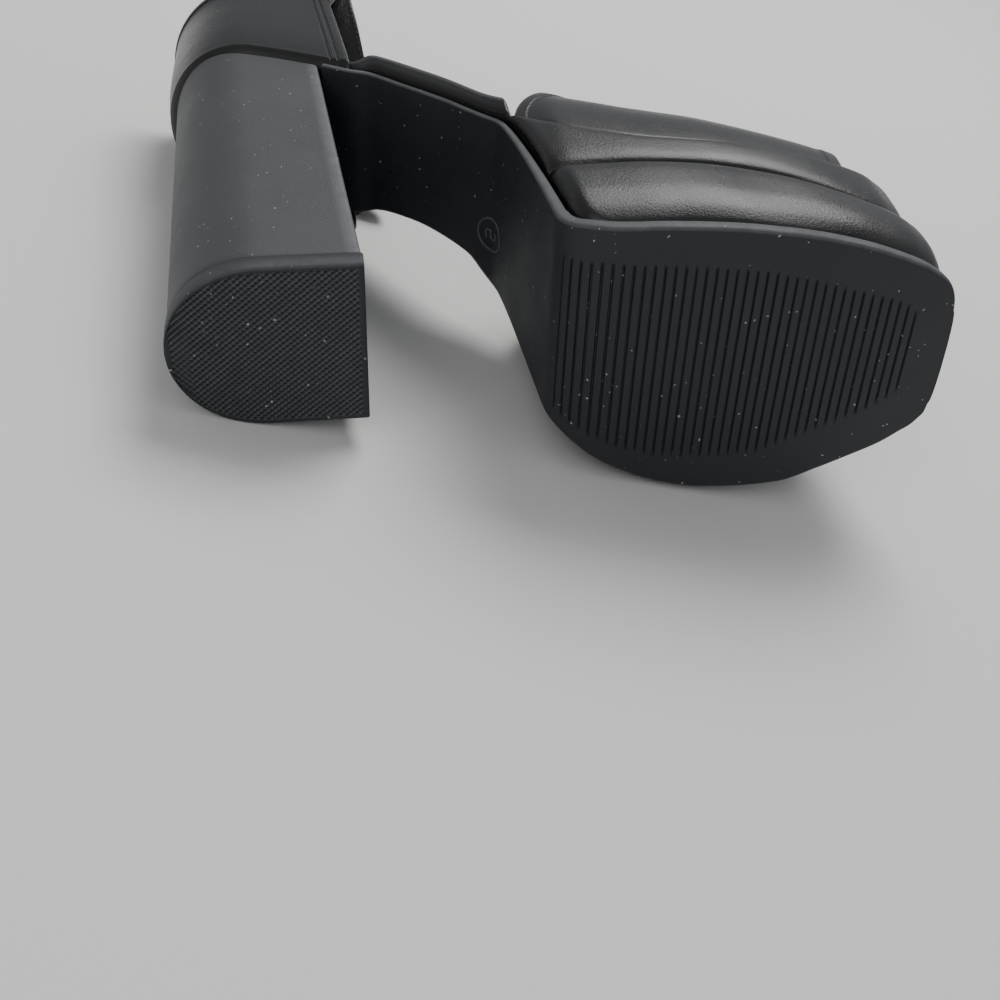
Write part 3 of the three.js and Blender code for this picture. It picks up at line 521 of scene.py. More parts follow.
# Stations lie close where a groove is cut and wider elsewhere; all five columns are read there.
groove_middles = np.arange(GROOVES_FROM, GROOVES_TO, GROOVE_PITCH)
in_groove = groove_middles[:, None] + GROOVE_HALF * np.array([-1.5, -1, -0.45, 0.45, 1, 1.5])
dense_way, dense_x, dense_z, dense_t = sole_path()
stations = np.unique(np.concatenate([
    in_groove.ravel(), eased(REAR_TURN, LENGTH, 60),
    np.linspace(dense_way[-1], REAR_TURN, 130)]).round(3))[::-1]
stations = stations[np.concatenate([[True], np.diff(stations) < -0.08])]


def at_stations(column):
    return np.interp(stations, dense_way[::-1], column[::-1])


path_x, path_z, path_t = (at_stations(c) for c in (dense_x, dense_z, dense_t))
run = unit(np.stack([at_stations(np.gradient(dense_x)), at_stations(np.gradient(dense_z))], -1))
into_x, into_z = run[:, 1], -run[:, 0]
print(len(groove_middles), "grooves at", GROOVE_PITCH, "mm")


# %% The sole unit's skin
def groove_depth(way, x, y):
    """How deep the tread is cut: a flat-bottomed notch round each groove's middle, fading out
    over 1 mm where the border starts, its corners rounded off towards the toe."""
    away = np.abs((way - GROOVES_FROM + GROOVE_PITCH / 2) % GROOVE_PITCH - GROOVE_PITCH / 2)
    notch = 1 - smooth(GROOVE_HALF * 0.5, GROOVE_HALF * 1.4, away)
    narrowed = BORDER_LATERAL * (1 - 0.35 * smooth(190, 215, x))
    lateral = lateral_edge(np.minimum(x + 10, LENGTH)) + narrowed
    medial = medial_edge(np.minimum(x + 10, LENGTH)) - BORDER_MEDIAL
    inside = smooth(-0.5, 0.5, y - lateral) * smooth(-0.5, 0.5, medial - y)
    reach = smooth(GROOVES_FROM - 1, GROOVES_FROM - 0.5, way)
    reach = reach * (1 - smooth(GROOVES_TO - 0.3, GROOVES_TO + 0.3, way))
    return GROOVE_DEPTH * notch * inside * reach


def sole_rings():
    """Rings across the path: the walking face, a rounded edge, the flange's side, the back."""
    lateral, medial = lateral_edge(path_x)[:, None], medial_edge(path_x)[:, None]
    thick = path_t[:, None]
    edge = np.minimum(1.2, thick * 0.3)
    corner = np.radians(np.linspace(0, 90, CORNER_POINTS - 1))
    out, down = edge * np.sin(corner), edge * (1 - np.cos(corner))
    across = np.linspace(0, 1, FACE_POINTS)
    face_y = mix(lateral + edge, medial - edge, across)
    back_y = mix(medial - 0.6, lateral + 0.6, np.linspace(0, 1, 12))
    y = np.concatenate([
        face_y, (medial - edge) + out[:, 1:], medial + 0 * thick, medial - 0.25 + 0 * thick,
        back_y, lateral + 0.25 + 0 * thick, lateral + 0 * thick, (lateral + edge) - out[:, :0:-1],
    ], 1)
    depth = np.concatenate([
        groove_depth(stations[:, None], path_x[:, None], face_y), down[:, 1:], thick - 0.5,
        thick - 0.15, np.broadcast_to(thick, back_y.shape), thick - 0.15, thick - 0.5,
        down[:, :0:-1],
    ], 1)
    x = path_x[:, None] + into_x[:, None] * depth
    return xyz(x, y, path_z[:, None] + into_z[:, None] * depth)


rings = sole_rings()
nose_turn = np.radians([75, 55, 35, 15])[:, None, None]
middle = np.array([0, rings[0, :, 1].mean(), 0])
nose = rings[:1] * [1, 0, 1] + middle + (rings[:1] * [0, 1, 0] - middle) * np.sin(nose_turn)
nose = nose + np.array([0.9, 0, 0]) * np.cos(nose_turn)
rings = np.concatenate([nose[::-1], rings])
around = rings.shape[1]
# the walking face's two rounded edges are painted paler: a painted highlight along the flange
edge = np.zeros(around)
edge[FACE_POINTS:FACE_POINTS + CORNER_POINTS], edge[-CORNER_POINTS:] = 0.8, 0.8
add_rings("sole_unit", rings, [rubber], "sole_rubber", edge=edge, stands_for=["outsole"])

# %% [markdown]
# **Platform.** Two wrapped layers sit on the flange: a lower, puffier one with a rounded rear
# corner and a thinner upper one set back at the toe. Each is a stack of plan loops whose sideways
# fullness follows a table, so the wrap swells between its tucked edges as padding does.

# %% Plan loops of the platform
# share of the layer's height, sideways fullness, reach at the toe
LOWER_LEVELS = [
    (0, -2.2, -3.2), (0.07, -0.6, -2.4), (0.25, 1.6, -1.2), (0.5, 2.8, -0.8), (0.78, 3.0, -1.2),
    (0.94, 2.5, -1.9), (1, 1.2, -3.2),
]
UPPER_LEVELS = [
    (0, 0.6, -5.6), (0.1, 1.9, -4.6), (0.4, 2.9, -4.0), (0.8, 3.2, -4.2), (0.94, 3.0, -4.8),
    (1, 2.2, -5.8),
]
inner_x, inner_z = path_x + into_x * path_t, path_z + into_z * path_t
behind = (path_x < REAR_TURN) & (path_x > REAR_TOP - 8)


def platform_rear(z):
    """Where the platform's back may start at a height: just inside the turned-up sole."""
    return np.interp(z, inner_z[behind], inner_x[behind])


def plan_loop(rear, side, toe, corner):
    """Points round the plan: both edges from a rounded rear corner to the toe and a full nose
    between them, moved outwards by side and, where they face the toe, forwards by toe."""
    ball = 0.66 * LENGTH
    rounded = rear + corner * np.array([0, 0.03, 0.1, 0.2, 0.32, 0.48, 0.65, 0.82])
    x = np.concatenate([rounded, np.linspace(rear + corner, ball, 24), eased(ball, LENGTH, 44)[1:]])
    along = np.clip(1 - (x - rear) / corner, 0, 1)
    rounding = corner * (1 - np.sqrt(1 - along * along))
    lateral, medial = lateral_edge(x) + rounding, medial_edge(x) - rounding
    nose = np.linspace(0, math.pi, 10)[1:-1]
    nose_y = mix(lateral[-1], medial[-1], (1 - np.cos(nose)) / 2)
    loop_x = np.concatenate([x, LENGTH + 0.9 * np.sin(nose), x[::-1]])
    loop_y = np.concatenate([lateral, nose_y, medial[::-1]])
    normal = unit(np.stack([np.gradient(loop_y), -np.gradient(loop_x)], -1))
    normal[0], normal[-1] = (0, -1), (0, 1)
    return loop_x + np.maximum(normal[:, 0], 0) * toe, loop_y + normal[:, 1] * side


def wrapped_layer(levels, corner, bottom_at, top_at, steps):
    """Plan loops from bottom to top, each starting where the sole's rise leaves room."""
    rings = []
    for share in (1 - np.cos(np.linspace(0, math.pi, steps))) / 2:
        rear = REAR_TOP
        for _ in range(30):
            reach = platform_rear(mix(bottom_at(rear), top_at(rear), share)) + 3 * GAP
            rear = max(rear, mix(rear, reach, 0.5))
        side, toe = (curve_through(levels, column, share) for column in (1, 2))
        x, y = plan_loop(rear, side, toe, corner)
        rings.append(xyz(x, y, mix(bottom_at(x), top_at(x), share)))
    return np.stack(rings)


def tread_top(x):
    return toe_spring(x) + TREAD_THICKNESS + GAP


def layer_joint(x):
    drop = LAYER_JOINT_DROP * smooth(0.66, 0.99, np.asarray(x) / LENGTH)
    return LOWER_TOP - drop + toe_spring(x) * 0.9


# %% The two layers
def settle(rings, depth, waves):
    """Slow hollows in a wrapped side: the loop moves in and out by a sum of two sines along x,
    fading to nothing at the layer's bottom and top."""
    share = np.linspace(0, 1, len(rings))[:, None]
    x, y = rings[..., 0], rings[..., 1]
    wave = np.sin(x / waves[0] + 1.3) + 0.6 * np.sin(x / waves[1] + 4.0 * share)
    out = np.sign(y - y.mean()) * depth * wave * np.sin(share * math.pi)
    rings[..., 1] += out
    return rings


lower = settle(wrapped_layer(LOWER_LEVELS, LOWER_CORNER, tread_top, layer_joint, 26), 0.22, (11, 6))
add_rings("platform_lower_wrap", lower, [wrap], "black_wrap", ends="strip", sharp=50,
          stands_for=["platform_lower"])
upper = wrapped_layer(UPPER_LEVELS, UPPER_CORNER, lambda x: layer_joint(x) + GAP,
                      lambda x: last_bottom(x) - GAP, 18)
add_rings("platform_upper_wrap", settle(upper, 0.15, (13, 7)), [wrap], "black_wrap", ends="strip",
          sharp=50, stands_for=["platform_upper"])

# %% [markdown]
# **Footbed.** A board follows the last's bottom from the heel seat to the toe. Its wrapped edge
# shows two bands with a soft shoulder between them, so the profile bulges at the shoulder and
# draws in above and below. A thin sock covers the top.

# %% The footbed board
FOOTBED_TOE = 0.97 * LENGTH


def footbed_top(x):
    board = mix(FOOTBED_THICKNESS, FOREFOOT_BOARD, smooth(VAMP_REAR, VAMP_REAR + 24, x))
    along = np.asarray(x) / LENGTH
    full = smooth(0.22, 0.33, along) * (1 - smooth(0.48, 0.56, along))
    return last_bottom(x) + board * mix(1, WAIST_FULLNESS, full)


def seat_half(x):
    along = np.clip((SEAT_ROUND - TOP_OVERHANG - np.asarray(x)) / SEAT_ROUND, 0, 1)
    return SEAT_HALF * np.sqrt(1 - along * along)


def vamp_stand(x):
    """How far the vamp stands out over the platform's edge, less and less towards the toe."""
    stand = VAMP_STAND * smooth(VAMP_REAR - 10, VAMP_REAR + 12, x)
    return stand * mix(1, 0.3, smooth(0.67, 0.89, np.asarray(x) / LENGTH))


def footbed_sides(x):
    """Lateral and medial edge: the round seat, blending into the outline over the waist, proud
    of the shank there and drawn in under the vamp."""
    along = np.asarray(x) / LENGTH
    proud = WAIST_STAND * smooth(0.253, 0.293, along) * (1 - smooth(0.452, 0.466, along))
    proud = proud - (UPPER_WALL + GAP + 0.5) * smooth(VAMP_REAR - 3, VAMP_REAR - GAP, x)
    proud = proud + vamp_stand(x)
    stretched = x + (LENGTH - FOOTBED_TOE) * smooth(0.6 * LENGTH, FOOTBED_TOE, x)
    share = smooth(COUNTER_FRONT - 2, COUNTER_FRONT + 8, x)
    return (mix(-seat_half(x), lateral_edge(stretched) - proud, share),
            mix(seat_half(x), medial_edge(stretched) + proud, share))


# share of the board's thickness, how far in from the edge as a share of the bevel
EDGE_PROFILE = [
    (0.0, 1.0), (0.03, 0.7), (0.12, 0.42), (0.26, 0.24), (0.38, 0.12), (0.46, 0.0), (0.54, 0.0),
    (0.62, 0.08), (0.76, 0.2), (0.88, 0.42), (0.96, 0.7), (1.0, 1.0),
]
back = -TOP_OVERHANG
x = np.unique(np.concatenate([
    back + 0.12 + SEAT_ROUND * (1 - np.cos(np.linspace(0, math.pi / 2, 26))),
    np.linspace(30, 190, 120), np.linspace(101, 105, 9), eased(190, FOOTBED_TOE, 24)]))[:, None]
lateral, medial = footbed_sides(x)
bevel = np.minimum(1.8, (medial - lateral) * 0.2)
profile = np.array(EDGE_PROFILE)
flat = np.linspace(0, 1, 20)[1:-1]
y = np.concatenate([
    medial - bevel * profile[:, 1], mix(medial - bevel, lateral + bevel, flat),
    lateral + bevel * profile[::-1, 1], mix(lateral + bevel, medial - bevel, flat)], 1)
share = np.concatenate([profile[:, 0], np.ones(18), profile[::-1, 0], np.zeros(18)])
board = xyz(x, y, mix(last_bottom(x), footbed_top(x), share))
add_rings("footbed_wrap", board, [wrap], "black_wrap", sharp=60, stands_for=["footbed"])

# %% The sock on the footbed
x = np.linspace(2.5, FOOTBED_TOE - 3, 150)[:, None]
lateral, medial = footbed_sides(x)
lateral, medial = lateral + 2.6, medial - 2.6
across = np.linspace(0, 1, 24)
sock_y = np.concatenate([mix(lateral, medial, across), mix(lateral, medial, across)[:, ::-1]], 1)
lift = np.concatenate([0.15 + 0.45 * np.sin(across * math.pi) ** 0.3, np.full(24, 0.05)])
add_rings("sock", xyz(x, sock_y, footbed_top(x) + lift), [lining], "black_wrap")

# %% [markdown]
# **Heel.** A block with a D-shaped plan: round behind, straight sides, a flat breast. The loops
# grow a little from the tip to the seat and the top follows the last. The breast's corners get a
# small rounding, because the wrap there catches the light as a thin pale line.

# %% The heel block
def heel_loop(depth, half, back, steps=72, corner=1.2):
    """Points of a D: a half round of slightly squared cosine reach, straight sides, a breast
    with rounded corners."""
    half, depth, back = (np.asarray(v, float)[..., None] for v in (half, depth, back))
    round_ = depth * 0.5
    angle = np.linspace(-math.pi / 2, math.pi / 2, steps + 1)
    arc_x = back + round_ - round_ * np.abs(np.cos(angle)) ** 0.94
    arc_y = half * np.sin(angle)
    straight = np.linspace(0.55, 0.96, 10)
    side_x = back + depth * straight
    turn = np.linspace(0, math.pi / 2, 6)
    corner_x = back + depth - corner + corner * np.sin(turn)
    corner_y = half - corner + corner * np.cos(turn)
    across = np.linspace(0.9, -0.9, 12)
    x = np.concatenate([arc_x, side_x, corner_x, back + depth + 0 * across, corner_x[..., ::-1],
                        side_x[..., ::-1]], -1)
    y = np.concatenate([arc_y, half + 0 * straight, corner_y, half * across,
                        -corner_y[..., ::-1], -half + 0 * straight], -1)
    return x, y


share = np.linspace(0, 1, 40)
x, y = heel_loop(mix(TIP_DEPTH, TOP_DEPTH, share), mix(TIP_HALF, TOP_HALF, share),
                 mix(0, -TOP_OVERHANG, share))
top = last_bottom(x) - UPPER_WALL - 2 * GAP
block = xyz(x, y, mix(TIP_THICKNESS + GAP, top, share[:, None]))
lift = np.array([0.0, 0.12, 0.45, 0.9])[:, None, None]
inset = np.array([1.3, 0.75, 0.25, 0.0])[:, None, None]
centre = block[0].mean(0) * [1, 1, 0]
off = unit((block[0] - centre) * [1, 1, 0])
rim = block[:1] - off * inset + np.array([0, 0, 1.0]) * lift
block = np.concatenate([rim, block[1:]])
# the two rounded corners of the breast are painted paler: a painted highlight along them
edge = np.zeros(x.shape[1])
edge[84:90], edge[102:108] = 0.9, 0.9
add_rings("heel_block", block, [heel_wrap], "heel_wrap", edge=edge, sharp=55, stands_for=["heel"])

# %% [markdown]
# **Heel tip.** A rubber top piece with a plain rim and a fine slanted pattern: close ridges with
# shorter cuts across them that leave rows of small pits. The pattern is a height over a fine
# grid, so it is real relief and casts its own small shadows.

# %% The heel tip
TIP_PITCH, TIP_CROSS, TIP_RELIEF, TIP_RIM = 1.42, 1.3, 0.9, 1.5
RIDGE_TURN = math.radians(-40)


def tip_relief(x, y):
    """Depth of the pattern: a ridge wave along one slant times pits along the other."""
    across = -x * math.sin(RIDGE_TURN) + y * math.cos(RIDGE_TURN)
    along = x * math.cos(RIDGE_TURN) + y * math.sin(RIDGE_TURN)
    ridge = 0.5 - 0.5 * np.cos(2 * math.pi * across / TIP_PITCH)
    pits = 0.5 - 0.5 * np.cos(2 * math.pi * along / TIP_CROSS)
    return TIP_RELIEF * ridge ** 0.7 * (0.35 + 0.65 * pits)


grow = TIP_PROUD
x = np.concatenate([
    -grow + 0.02 + 6 * (1 - np.cos(np.linspace(0, math.pi / 2, 20))),
    np.arange(6.2, TIP_DEPTH + grow - 0.9, 0.26), TIP_DEPTH + grow - np.array([0.6, 0.3, 0.12, 0])])
loop_x, loop_y = heel_loop(TIP_DEPTH + 2 * grow, TIP_HALF + grow, -grow, steps=200, corner=0.6)
outer = (loop_y >= 0) & (loop_x <= TIP_DEPTH)
order = np.argsort(loop_x[outer])
half = np.interp(x, loop_x[outer][order], loop_y[outer][order])
half[-4:] = TIP_HALF + grow - np.array([0, 0.06, 0.25, 0.6])
TIP_POINTS = 196
across = np.linspace(-1, 1, TIP_POINTS)
x, half = x[:, None], half[:, None]
face_half = np.maximum(half - 0.7, half * 0.5)
face_y = face_half * across
rim_gap = np.minimum(half - np.abs(face_y), np.minimum(x + grow, TIP_DEPTH + grow - x))
fade = smooth(TIP_RIM, TIP_RIM + 0.5, rim_gap)
bevel = 0.75 - np.clip(rim_gap, 0, 0.75)
lower_z = tip_relief(x, face_y) * fade + bevel * 0.6
ring_y = np.concatenate([face_y, half, half, half - 0.25, half * np.linspace(0.9, -0.9, 8),
                         -half + 0.25, -half, -half], 1)
ring_z = np.concatenate([
    lower_z, 0.8 + 0 * half, TIP_THICKNESS - 0.3 + 0 * half, TIP_THICKNESS + 0 * half,
    np.full((len(x), 8), TIP_THICKNESS), TIP_THICKNESS + 0 * half, TIP_THICKNESS - 0.3 + 0 * half,
    0.8 + 0 * half], 1)
# The pattern's crests and the rim's edges are painted paler than the pits: painted highlight on the
# relief.
edge = np.zeros(ring_y.shape)
edge[:, :TIP_POINTS] = fade * 1.3 * (1 - tip_relief(x, face_y) / TIP_RELIEF) ** 5
edge[:, [TIP_POINTS, -1]], edge[:, [0, TIP_POINTS - 1]] = 0.7, 0.4
add_rings("heel_top_piece", xyz(x, ring_y, ring_z), [rubber], "sole_rubber", sharp=80, edge=edge,
          stands_for=["heel_tip"])

# %% [markdown]
# **Thin walls.** The vamp and the counter are leather walls with a lining and bound edges. Each
# is an outer and an inner grid; the rims between them are half rounds, slightly thickened where
# the binding runs, so that no edge is a bare sheet.


# %% A wall from an outer and an inner grid
RIM_STEPS = np.radians([30, 60, 90, 120, 150])


def half_round(outer, inner, outward_dir):
    """Points over a wall's edge: middle + a·cos(t) + b·sin(t), where a is half the wall and b
    points off the edge with the same length."""
    middle, a = (outer + inner) / 2, (outer - inner) / 2
    b = outward_dir * np.linalg.norm(a, axis=-1, keepdims=True)
    t = RIM_STEPS[:, None]
    return middle[..., None, :] + a[..., None, :] * np.cos(t) + b[..., None, :] * np.sin(t)


def wall_rings(outer, inner):
    """Rings (u, around): outer edge to edge, a half round, the inner side back, a half round.
    Two more rings at each end close the wall's cut ends round too."""
    top = half_round(outer[:, -1], inner[:, -1], unit(outer[:, -1] - outer[:, -2]))
    foot = half_round(inner[:, 0], outer[:, 0], unit(outer[:, 0] - outer[:, 1]))
    rings = np.concatenate([outer, top, inner[:, ::-1], foot], 1)
    count = outer.shape[1]
    partner = np.concatenate([inner, top[:, ::-1], outer[:, ::-1], foot[:, ::-1]], 1)
    middle = (rings + partner) / 2

    def rounded(i, j):
        off = unit(middle[i] - middle[j]) * np.linalg.norm(outer[i] - inner[i], axis=-1).mean() / 2
        return [middle[i] + (rings[i] - middle[i]) * math.cos(t) + off * math.sin(t)
                for t in np.radians([40, 75])]

    first, last = rounded(0, 1), rounded(-1, -2)
    inside = np.zeros(rings.shape[1], int)
    inside[count + 3:2 * count + 5] = 1
    return np.concatenate([np.stack(first[::-1]), rings, np.stack(last)]), inside


def bound(distance, width=2.6, height=0.35):
    """Extra thickness of a folded binding: full from the edge to width, then a quick step down."""
    return height * (1 - smooth(width - 0.5, width, distance))


# %% [markdown]
# **Vamp.** A wide band arches over the forefoot from one side of the platform to the other. Its
# section is a squared half ellipse, higher towards the instep; its rear edge sweeps forwards over
# the top and is bound, and its toe edge is folded and stitched.

# %% The vamp band
VAMP_SHAPE = [(0.44, 0.86), (0.5, 0.96), (0.58, 1.0), (0.68, 0.93), (0.78, 0.8), (0.88, 0.66),
              (0.95, 0.54)]


def vamp_point(x, angle, inward):
    """Squared half ellipse across the foot: y by |cos|^(2/n), height by sin^(2/n)."""
    stand = vamp_stand(x)
    lateral = lateral_edge(x) - stand + inward
    medial = medial_edge(x) + stand - inward
    height = VAMP_HEIGHT * curve_through(VAMP_SHAPE, 1, x / LENGTH) - inward
    power = 2 / VAMP_SQUARENESS
    cos, sin = np.cos(angle), np.maximum(np.sin(angle), 0)
    y = (lateral + medial) / 2 - np.sign(cos) * np.abs(cos) ** power * (medial - lateral) / 2
    return xyz(x, y, last_bottom(x) + sin ** power * height)


angle = np.linspace(0, math.pi, 150)[:, None]
over = np.sin(angle)
rear = VAMP_REAR + 34 * over ** 1.5 + 3 * smooth(math.pi / 2, math.pi, angle)
front = VAMP_FRONT + 6 * over - 9 * smooth(math.pi / 2, math.pi, angle)
along = np.unique(np.concatenate([
    np.linspace(0, 1, 60), np.array([1.8, 2.1, 2.4, 2.7, 3.0]) / 90,
    1 - np.array([3.2, 3.6, 3.9, 4.2]) / 90]))
x = mix(rear, front, along)
from_rear, from_front = x - rear, front - x
proud = bound(from_rear) + bound(from_front, 3.9, 0.4)
vamp_outer = vamp_point(x, angle, -proud)
vamp_inner = vamp_point(x, angle, UPPER_WALL)
rings, inside = wall_rings(vamp_outer, vamp_inner)
add_rings("vamp_band", rings, [wrap, lining], "black_wrap", ends="strip", inside=inside, sharp=60,
          stands_for=["vamp"])

# %% [markdown]
# **Counter.** A cupped wall round the heel seat. It bulges low down at the back, where the heel
# of the foot sits, tucks in under the footbed, and leans back at its two front edges, which are
# bound and stitched.

# %% The counter
# share of the wall's height, share of the fullness
COUNTER_WALL = [(0.0, 0.15), (0.1, 0.6), (0.28, 1.0), (0.5, 0.85), (0.75, 0.35), (1.0, -0.2)]
centre_x = SEAT_ROUND - TOP_OVERHANG


def counter_top(x):
    return SEAT_HEIGHT + COUNTER_HEIGHT - COUNTER_DROP * smooth(-10, COUNTER_FRONT, x)


def counter_foot(along, angle, share, offset):
    """Plan place: a half ellipse round the seat, carried forwards by along, leaning back with
    height, and moved off the wall by offset."""
    x = centre_x + along * (COUNTER_FRONT - centre_x - COUNTER_LEAN * share)
    x = x - np.cos(angle) * (SEAT_ROUND + offset)
    return x, np.sin(angle) * (SEAT_HALF + offset)


front_steps = np.array([0.5, 1, 1.5, 1.9, 2.2, 2.5, 2.8, 3.1, 3.4, 3.8, 4.4, 4.7, 5, 5.3, 5.6, 6.2])
straight = 1 - np.unique(np.concatenate([
    np.linspace(0, 1, 20)[:-1], front_steps / (COUNTER_FRONT - centre_x)]))
along = np.concatenate([straight, np.zeros(81), straight[::-1]])[:, None]
angle = np.concatenate([
    np.full(len(straight), -math.pi / 2), np.linspace(-math.pi / 2, math.pi / 2, 81),
    np.full(len(straight), math.pi / 2)])[:, None]
share = np.unique(np.concatenate([np.linspace(0, 1, 44), [0.005, 0.012, 0.03, 0.945, 0.952, 0.96]]))
from_front = np.where(along > 0, (1 - along) * (COUNTER_FRONT - centre_x), 99)
full = mix(0.75, 1, np.cos(angle) ** 2)


def counter_grid(wall, floor, proud):
    """The wall over the seat preceded by its tuck under the footbed, as one grid upwards."""
    swell = COUNTER_BULGE * curve_through(COUNTER_WALL, 1, share) * full
    foot_x, _ = counter_foot(along, angle, share, 0)
    x, y = counter_foot(along, angle, share, wall + swell + proud)
    base_x, _ = counter_foot(along, angle, 0 * share, min(wall - UPPER_WALL, 0))
    z = mix(last_bottom(base_x) + 0.2, counter_top(foot_x), share)
    upper = xyz(x, y, z)
    inset = np.array([-COUNTER_TUCK, -5, -2.5, -0.8])
    x, y = counter_foot(along, angle, 0 * inset, inset)
    lower = xyz(x, y, last_bottom(x) + floor)
    return np.concatenate([lower, upper], 1)


edge_gap = np.minimum(from_front, (1 - share) * COUNTER_HEIGHT)
BOUND_LINES, LINE_HALF, LINE_DEPTH = (2.6, 5.0), 0.28, 0.3
lines = sum(np.exp(-((edge_gap - at) / LINE_HALF) ** 2) for at in BOUND_LINES)
proud = bound(edge_gap, 2.4, 0.4) + bound(edge_gap, 5.0, 0.2) - LINE_DEPTH * lines
outer = counter_grid(UPPER_WALL + GAP, -GAP - UPPER_WALL, proud)
inner = counter_grid(GAP, -GAP, 0)
outer[:, 4, :] = mix(outer[:, 3], outer[:, 5], 0.55)
rings, inside = wall_rings(outer, inner)
add_rings("counter_wall", rings, [wrap, lining], "black_wrap", ends="strip", inside=inside,
          sharp=60, stands_for=["counter"])

# %% [markdown]
# **Straps.** The slack ankle strap leaves the counter's medial side, sinks into a loop, crosses
# in front of the ankle, curls over and goes down through the buckle, whose own short strap is
# stitched inside the lateral side. A band is a flat profile carried along a soft curve, with its
# width turned by a second curve.


# %% Soft curves and bands
def soft_curve(points, t):
    """Centripetal Catmull-Rom: Hermite pieces whose end slopes come from the distances to the
    power 1/2, with both ends carried on straight by one point. A distance of 0, where a value
    repeats, is replaced by the middle one, and that by 1."""
    p = np.asarray(points, float)
    p = np.concatenate([2 * p[:1] - p[1:2], p, 2 * p[-1:] - p[-2:-1]])
    gaps = np.linalg.norm(np.diff(p, axis=0), axis=1) ** 0.5
    place = np.clip(np.asarray(t, float), 0, 1) * (len(points) - 1)
    i = np.minimum(place.astype(int), len(points) - 2)
    w = (place - i)[:, None]
    d0, d1, d2 = (gaps[i + k][:, None] for k in range(3))
    d1 = np.where(d1 < 1e-4, 1.0, d1)
    d0, d2 = (np.where(d < 1e-4, d1, d) for d in (d0, d2))
    a, b, c, d = p[i], p[i + 1], p[i + 2], p[i + 3]
    m1 = ((b - a) / d0 - (c - a) / (d0 + d1) + (c - b) / d1) * d1
    m2 = ((c - b) / d1 - (d - b) / (d1 + d2) + (d - c) / d2) * d1
    return ((2 * w**3 - 3 * w**2 + 1) * b + (w**3 - 2 * w**2 + w) * m1
            + (3 * w**2 - 2 * w**3) * c + (w**3 - w**2) * m2)


def band_frames(route, steps):
    """Place, run, width and face directions along a route of (place, width direction)."""
    t = np.linspace(0, 1, steps)
    places, widths = [r[0] for r in route], [r[1] for r in route]
    at = soft_curve(places, t)
    run = unit(soft_curve(places, t + 1e-4) - soft_curve(places, t - 1e-4))
    wide = soft_curve(widths, t)
    wide = unit(wide - run * (wide * run).sum(1, keepdims=True))
    return at, run, wide, np.cross(run, wide)


BAND_PROFILE = np.array([
    (-1, -0.35), (-0.985, -0.7), (-0.95, -0.93), (-0.9, -1), (-0.83, -1), (-0.78, -0.93),
    (-0.4, -1), (0.4, -1), (0.78, -0.93), (0.83, -1), (0.9, -1), (0.95, -0.93), (0.985, -0.7),
    (1, -0.35)])
BAND_PROFILE = np.concatenate([BAND_PROFILE, BAND_PROFILE[::-1] * [1, -1]])


def band_rings(route, steps, width=STRAP_WIDTH, thickness=STRAP_THICKNESS, round_tip=0.0):
    """Rings of a strap, its corners rounded and a shallow channel where each stitch row runs.
    A round tip narrows the last stations along a half circle."""
    at, run, wide, face = band_frames(route, steps)
    gone = way_along(at)
    left = np.clip((gone[-1] - gone) / max(round_tip, 1e-6), 0, 1) if round_tip else 1 + 0 * gone
    narrow = np.sqrt(np.clip(1 - (1 - left) ** 2, 0.01, 1))[:, None, None]
    u, v = BAND_PROFILE[:, 0, None] * width / 2, BAND_PROFILE[:, 1, None] * thickness / 2
    return at[:, None] + wide[:, None] * u * narrow + face[:, None] * v


# %% Where the straps run
strap_inside = SEAT_HALF - STRAP_THICKNESS / 2 - GAP


def strap_point(reach, side, rise):
    """A place by shares: of the way to the counter's front, of the strap's distance from the
    middle line, and of the counter's height over the seat."""
    return np.array([reach * COUNTER_FRONT, side * strap_inside,
                     SEAT_HEIGHT + rise * COUNTER_HEIGHT])


buckle_centre = strap_point(0.955, -1.082, 1.29)
buckle_exit = strap_point(0.911, -1.007, 1.011)
buckle_run = unit(buckle_exit - buckle_centre)
buckle_face = unit(np.array([0, -1.0, 0]) + buckle_run * buckle_run[1])
buckle_wide = np.cross(buckle_face, buckle_run)


def on_buckle(run, face, wide=0.0):
    """A point by its distances along the buckle's run, face and width."""
    parts = ((run, buckle_run), (face, buckle_face), (wide, buckle_wide))
    return buckle_centre + sum(np.asarray(s, float)[..., None] * d for s, d in parts)


layered = STRAP_THICKNESS + 2 * GAP
passing = (STRAP_THICKNESS + BUCKLE_BAR) / 2 + GAP
bar_middle = (OPENING_LONG + BUCKLE_BAR) / 2
frame_end = bar_middle + BUCKLE_BAR / 2
# reach, side and rise of each place from the medial wall to the buckle, then the width's direction
SLACK_PATH = [
    (0.607, 1, 0.753, (0, 0, 1)), (0.75, 1, 0.746, (0.05, 0, 1)),
    (0.893, 0.99, 0.71, (0.15, 0, 1)), (1.03, 1.07, 0.6, (0.6, -0.1, 0.8)),
    (1.105, 1.29, 0.42, (0.95, -0.1, 0.3)), (1.143, 1.44, 0.235, (1, 0, 0)),
    (1.152, 1.395, 0.12, (1, 0, 0)), (1.152, 1.17, 0.165, (1, 0, 0)),
    (1.116, 0.746, 0.376, (1, 0, 0)), (1.089, 0.224, 0.634, (1, 0, 0)),
    (1.054, -0.224, 0.892, (1, 0, 0)), (1.025, -0.522, 1.084, (1, 0, 0)),
    (1.0, -0.701, 1.28, (1, 0, 0)), (1.004, -0.731, 1.441, (1, 0, 0)),
    (1.007, -0.84, 1.57, (1, 0, 0)), (1.0, -0.97, 1.581, (1, 0, 0)),
]
ENTRY_LEAD, ENTRY_SINK, BAR_CLEARANCE, TAIL_LEAD, HOLDER_LEAD = 3.7, 0.6, 0.22, 4, 3
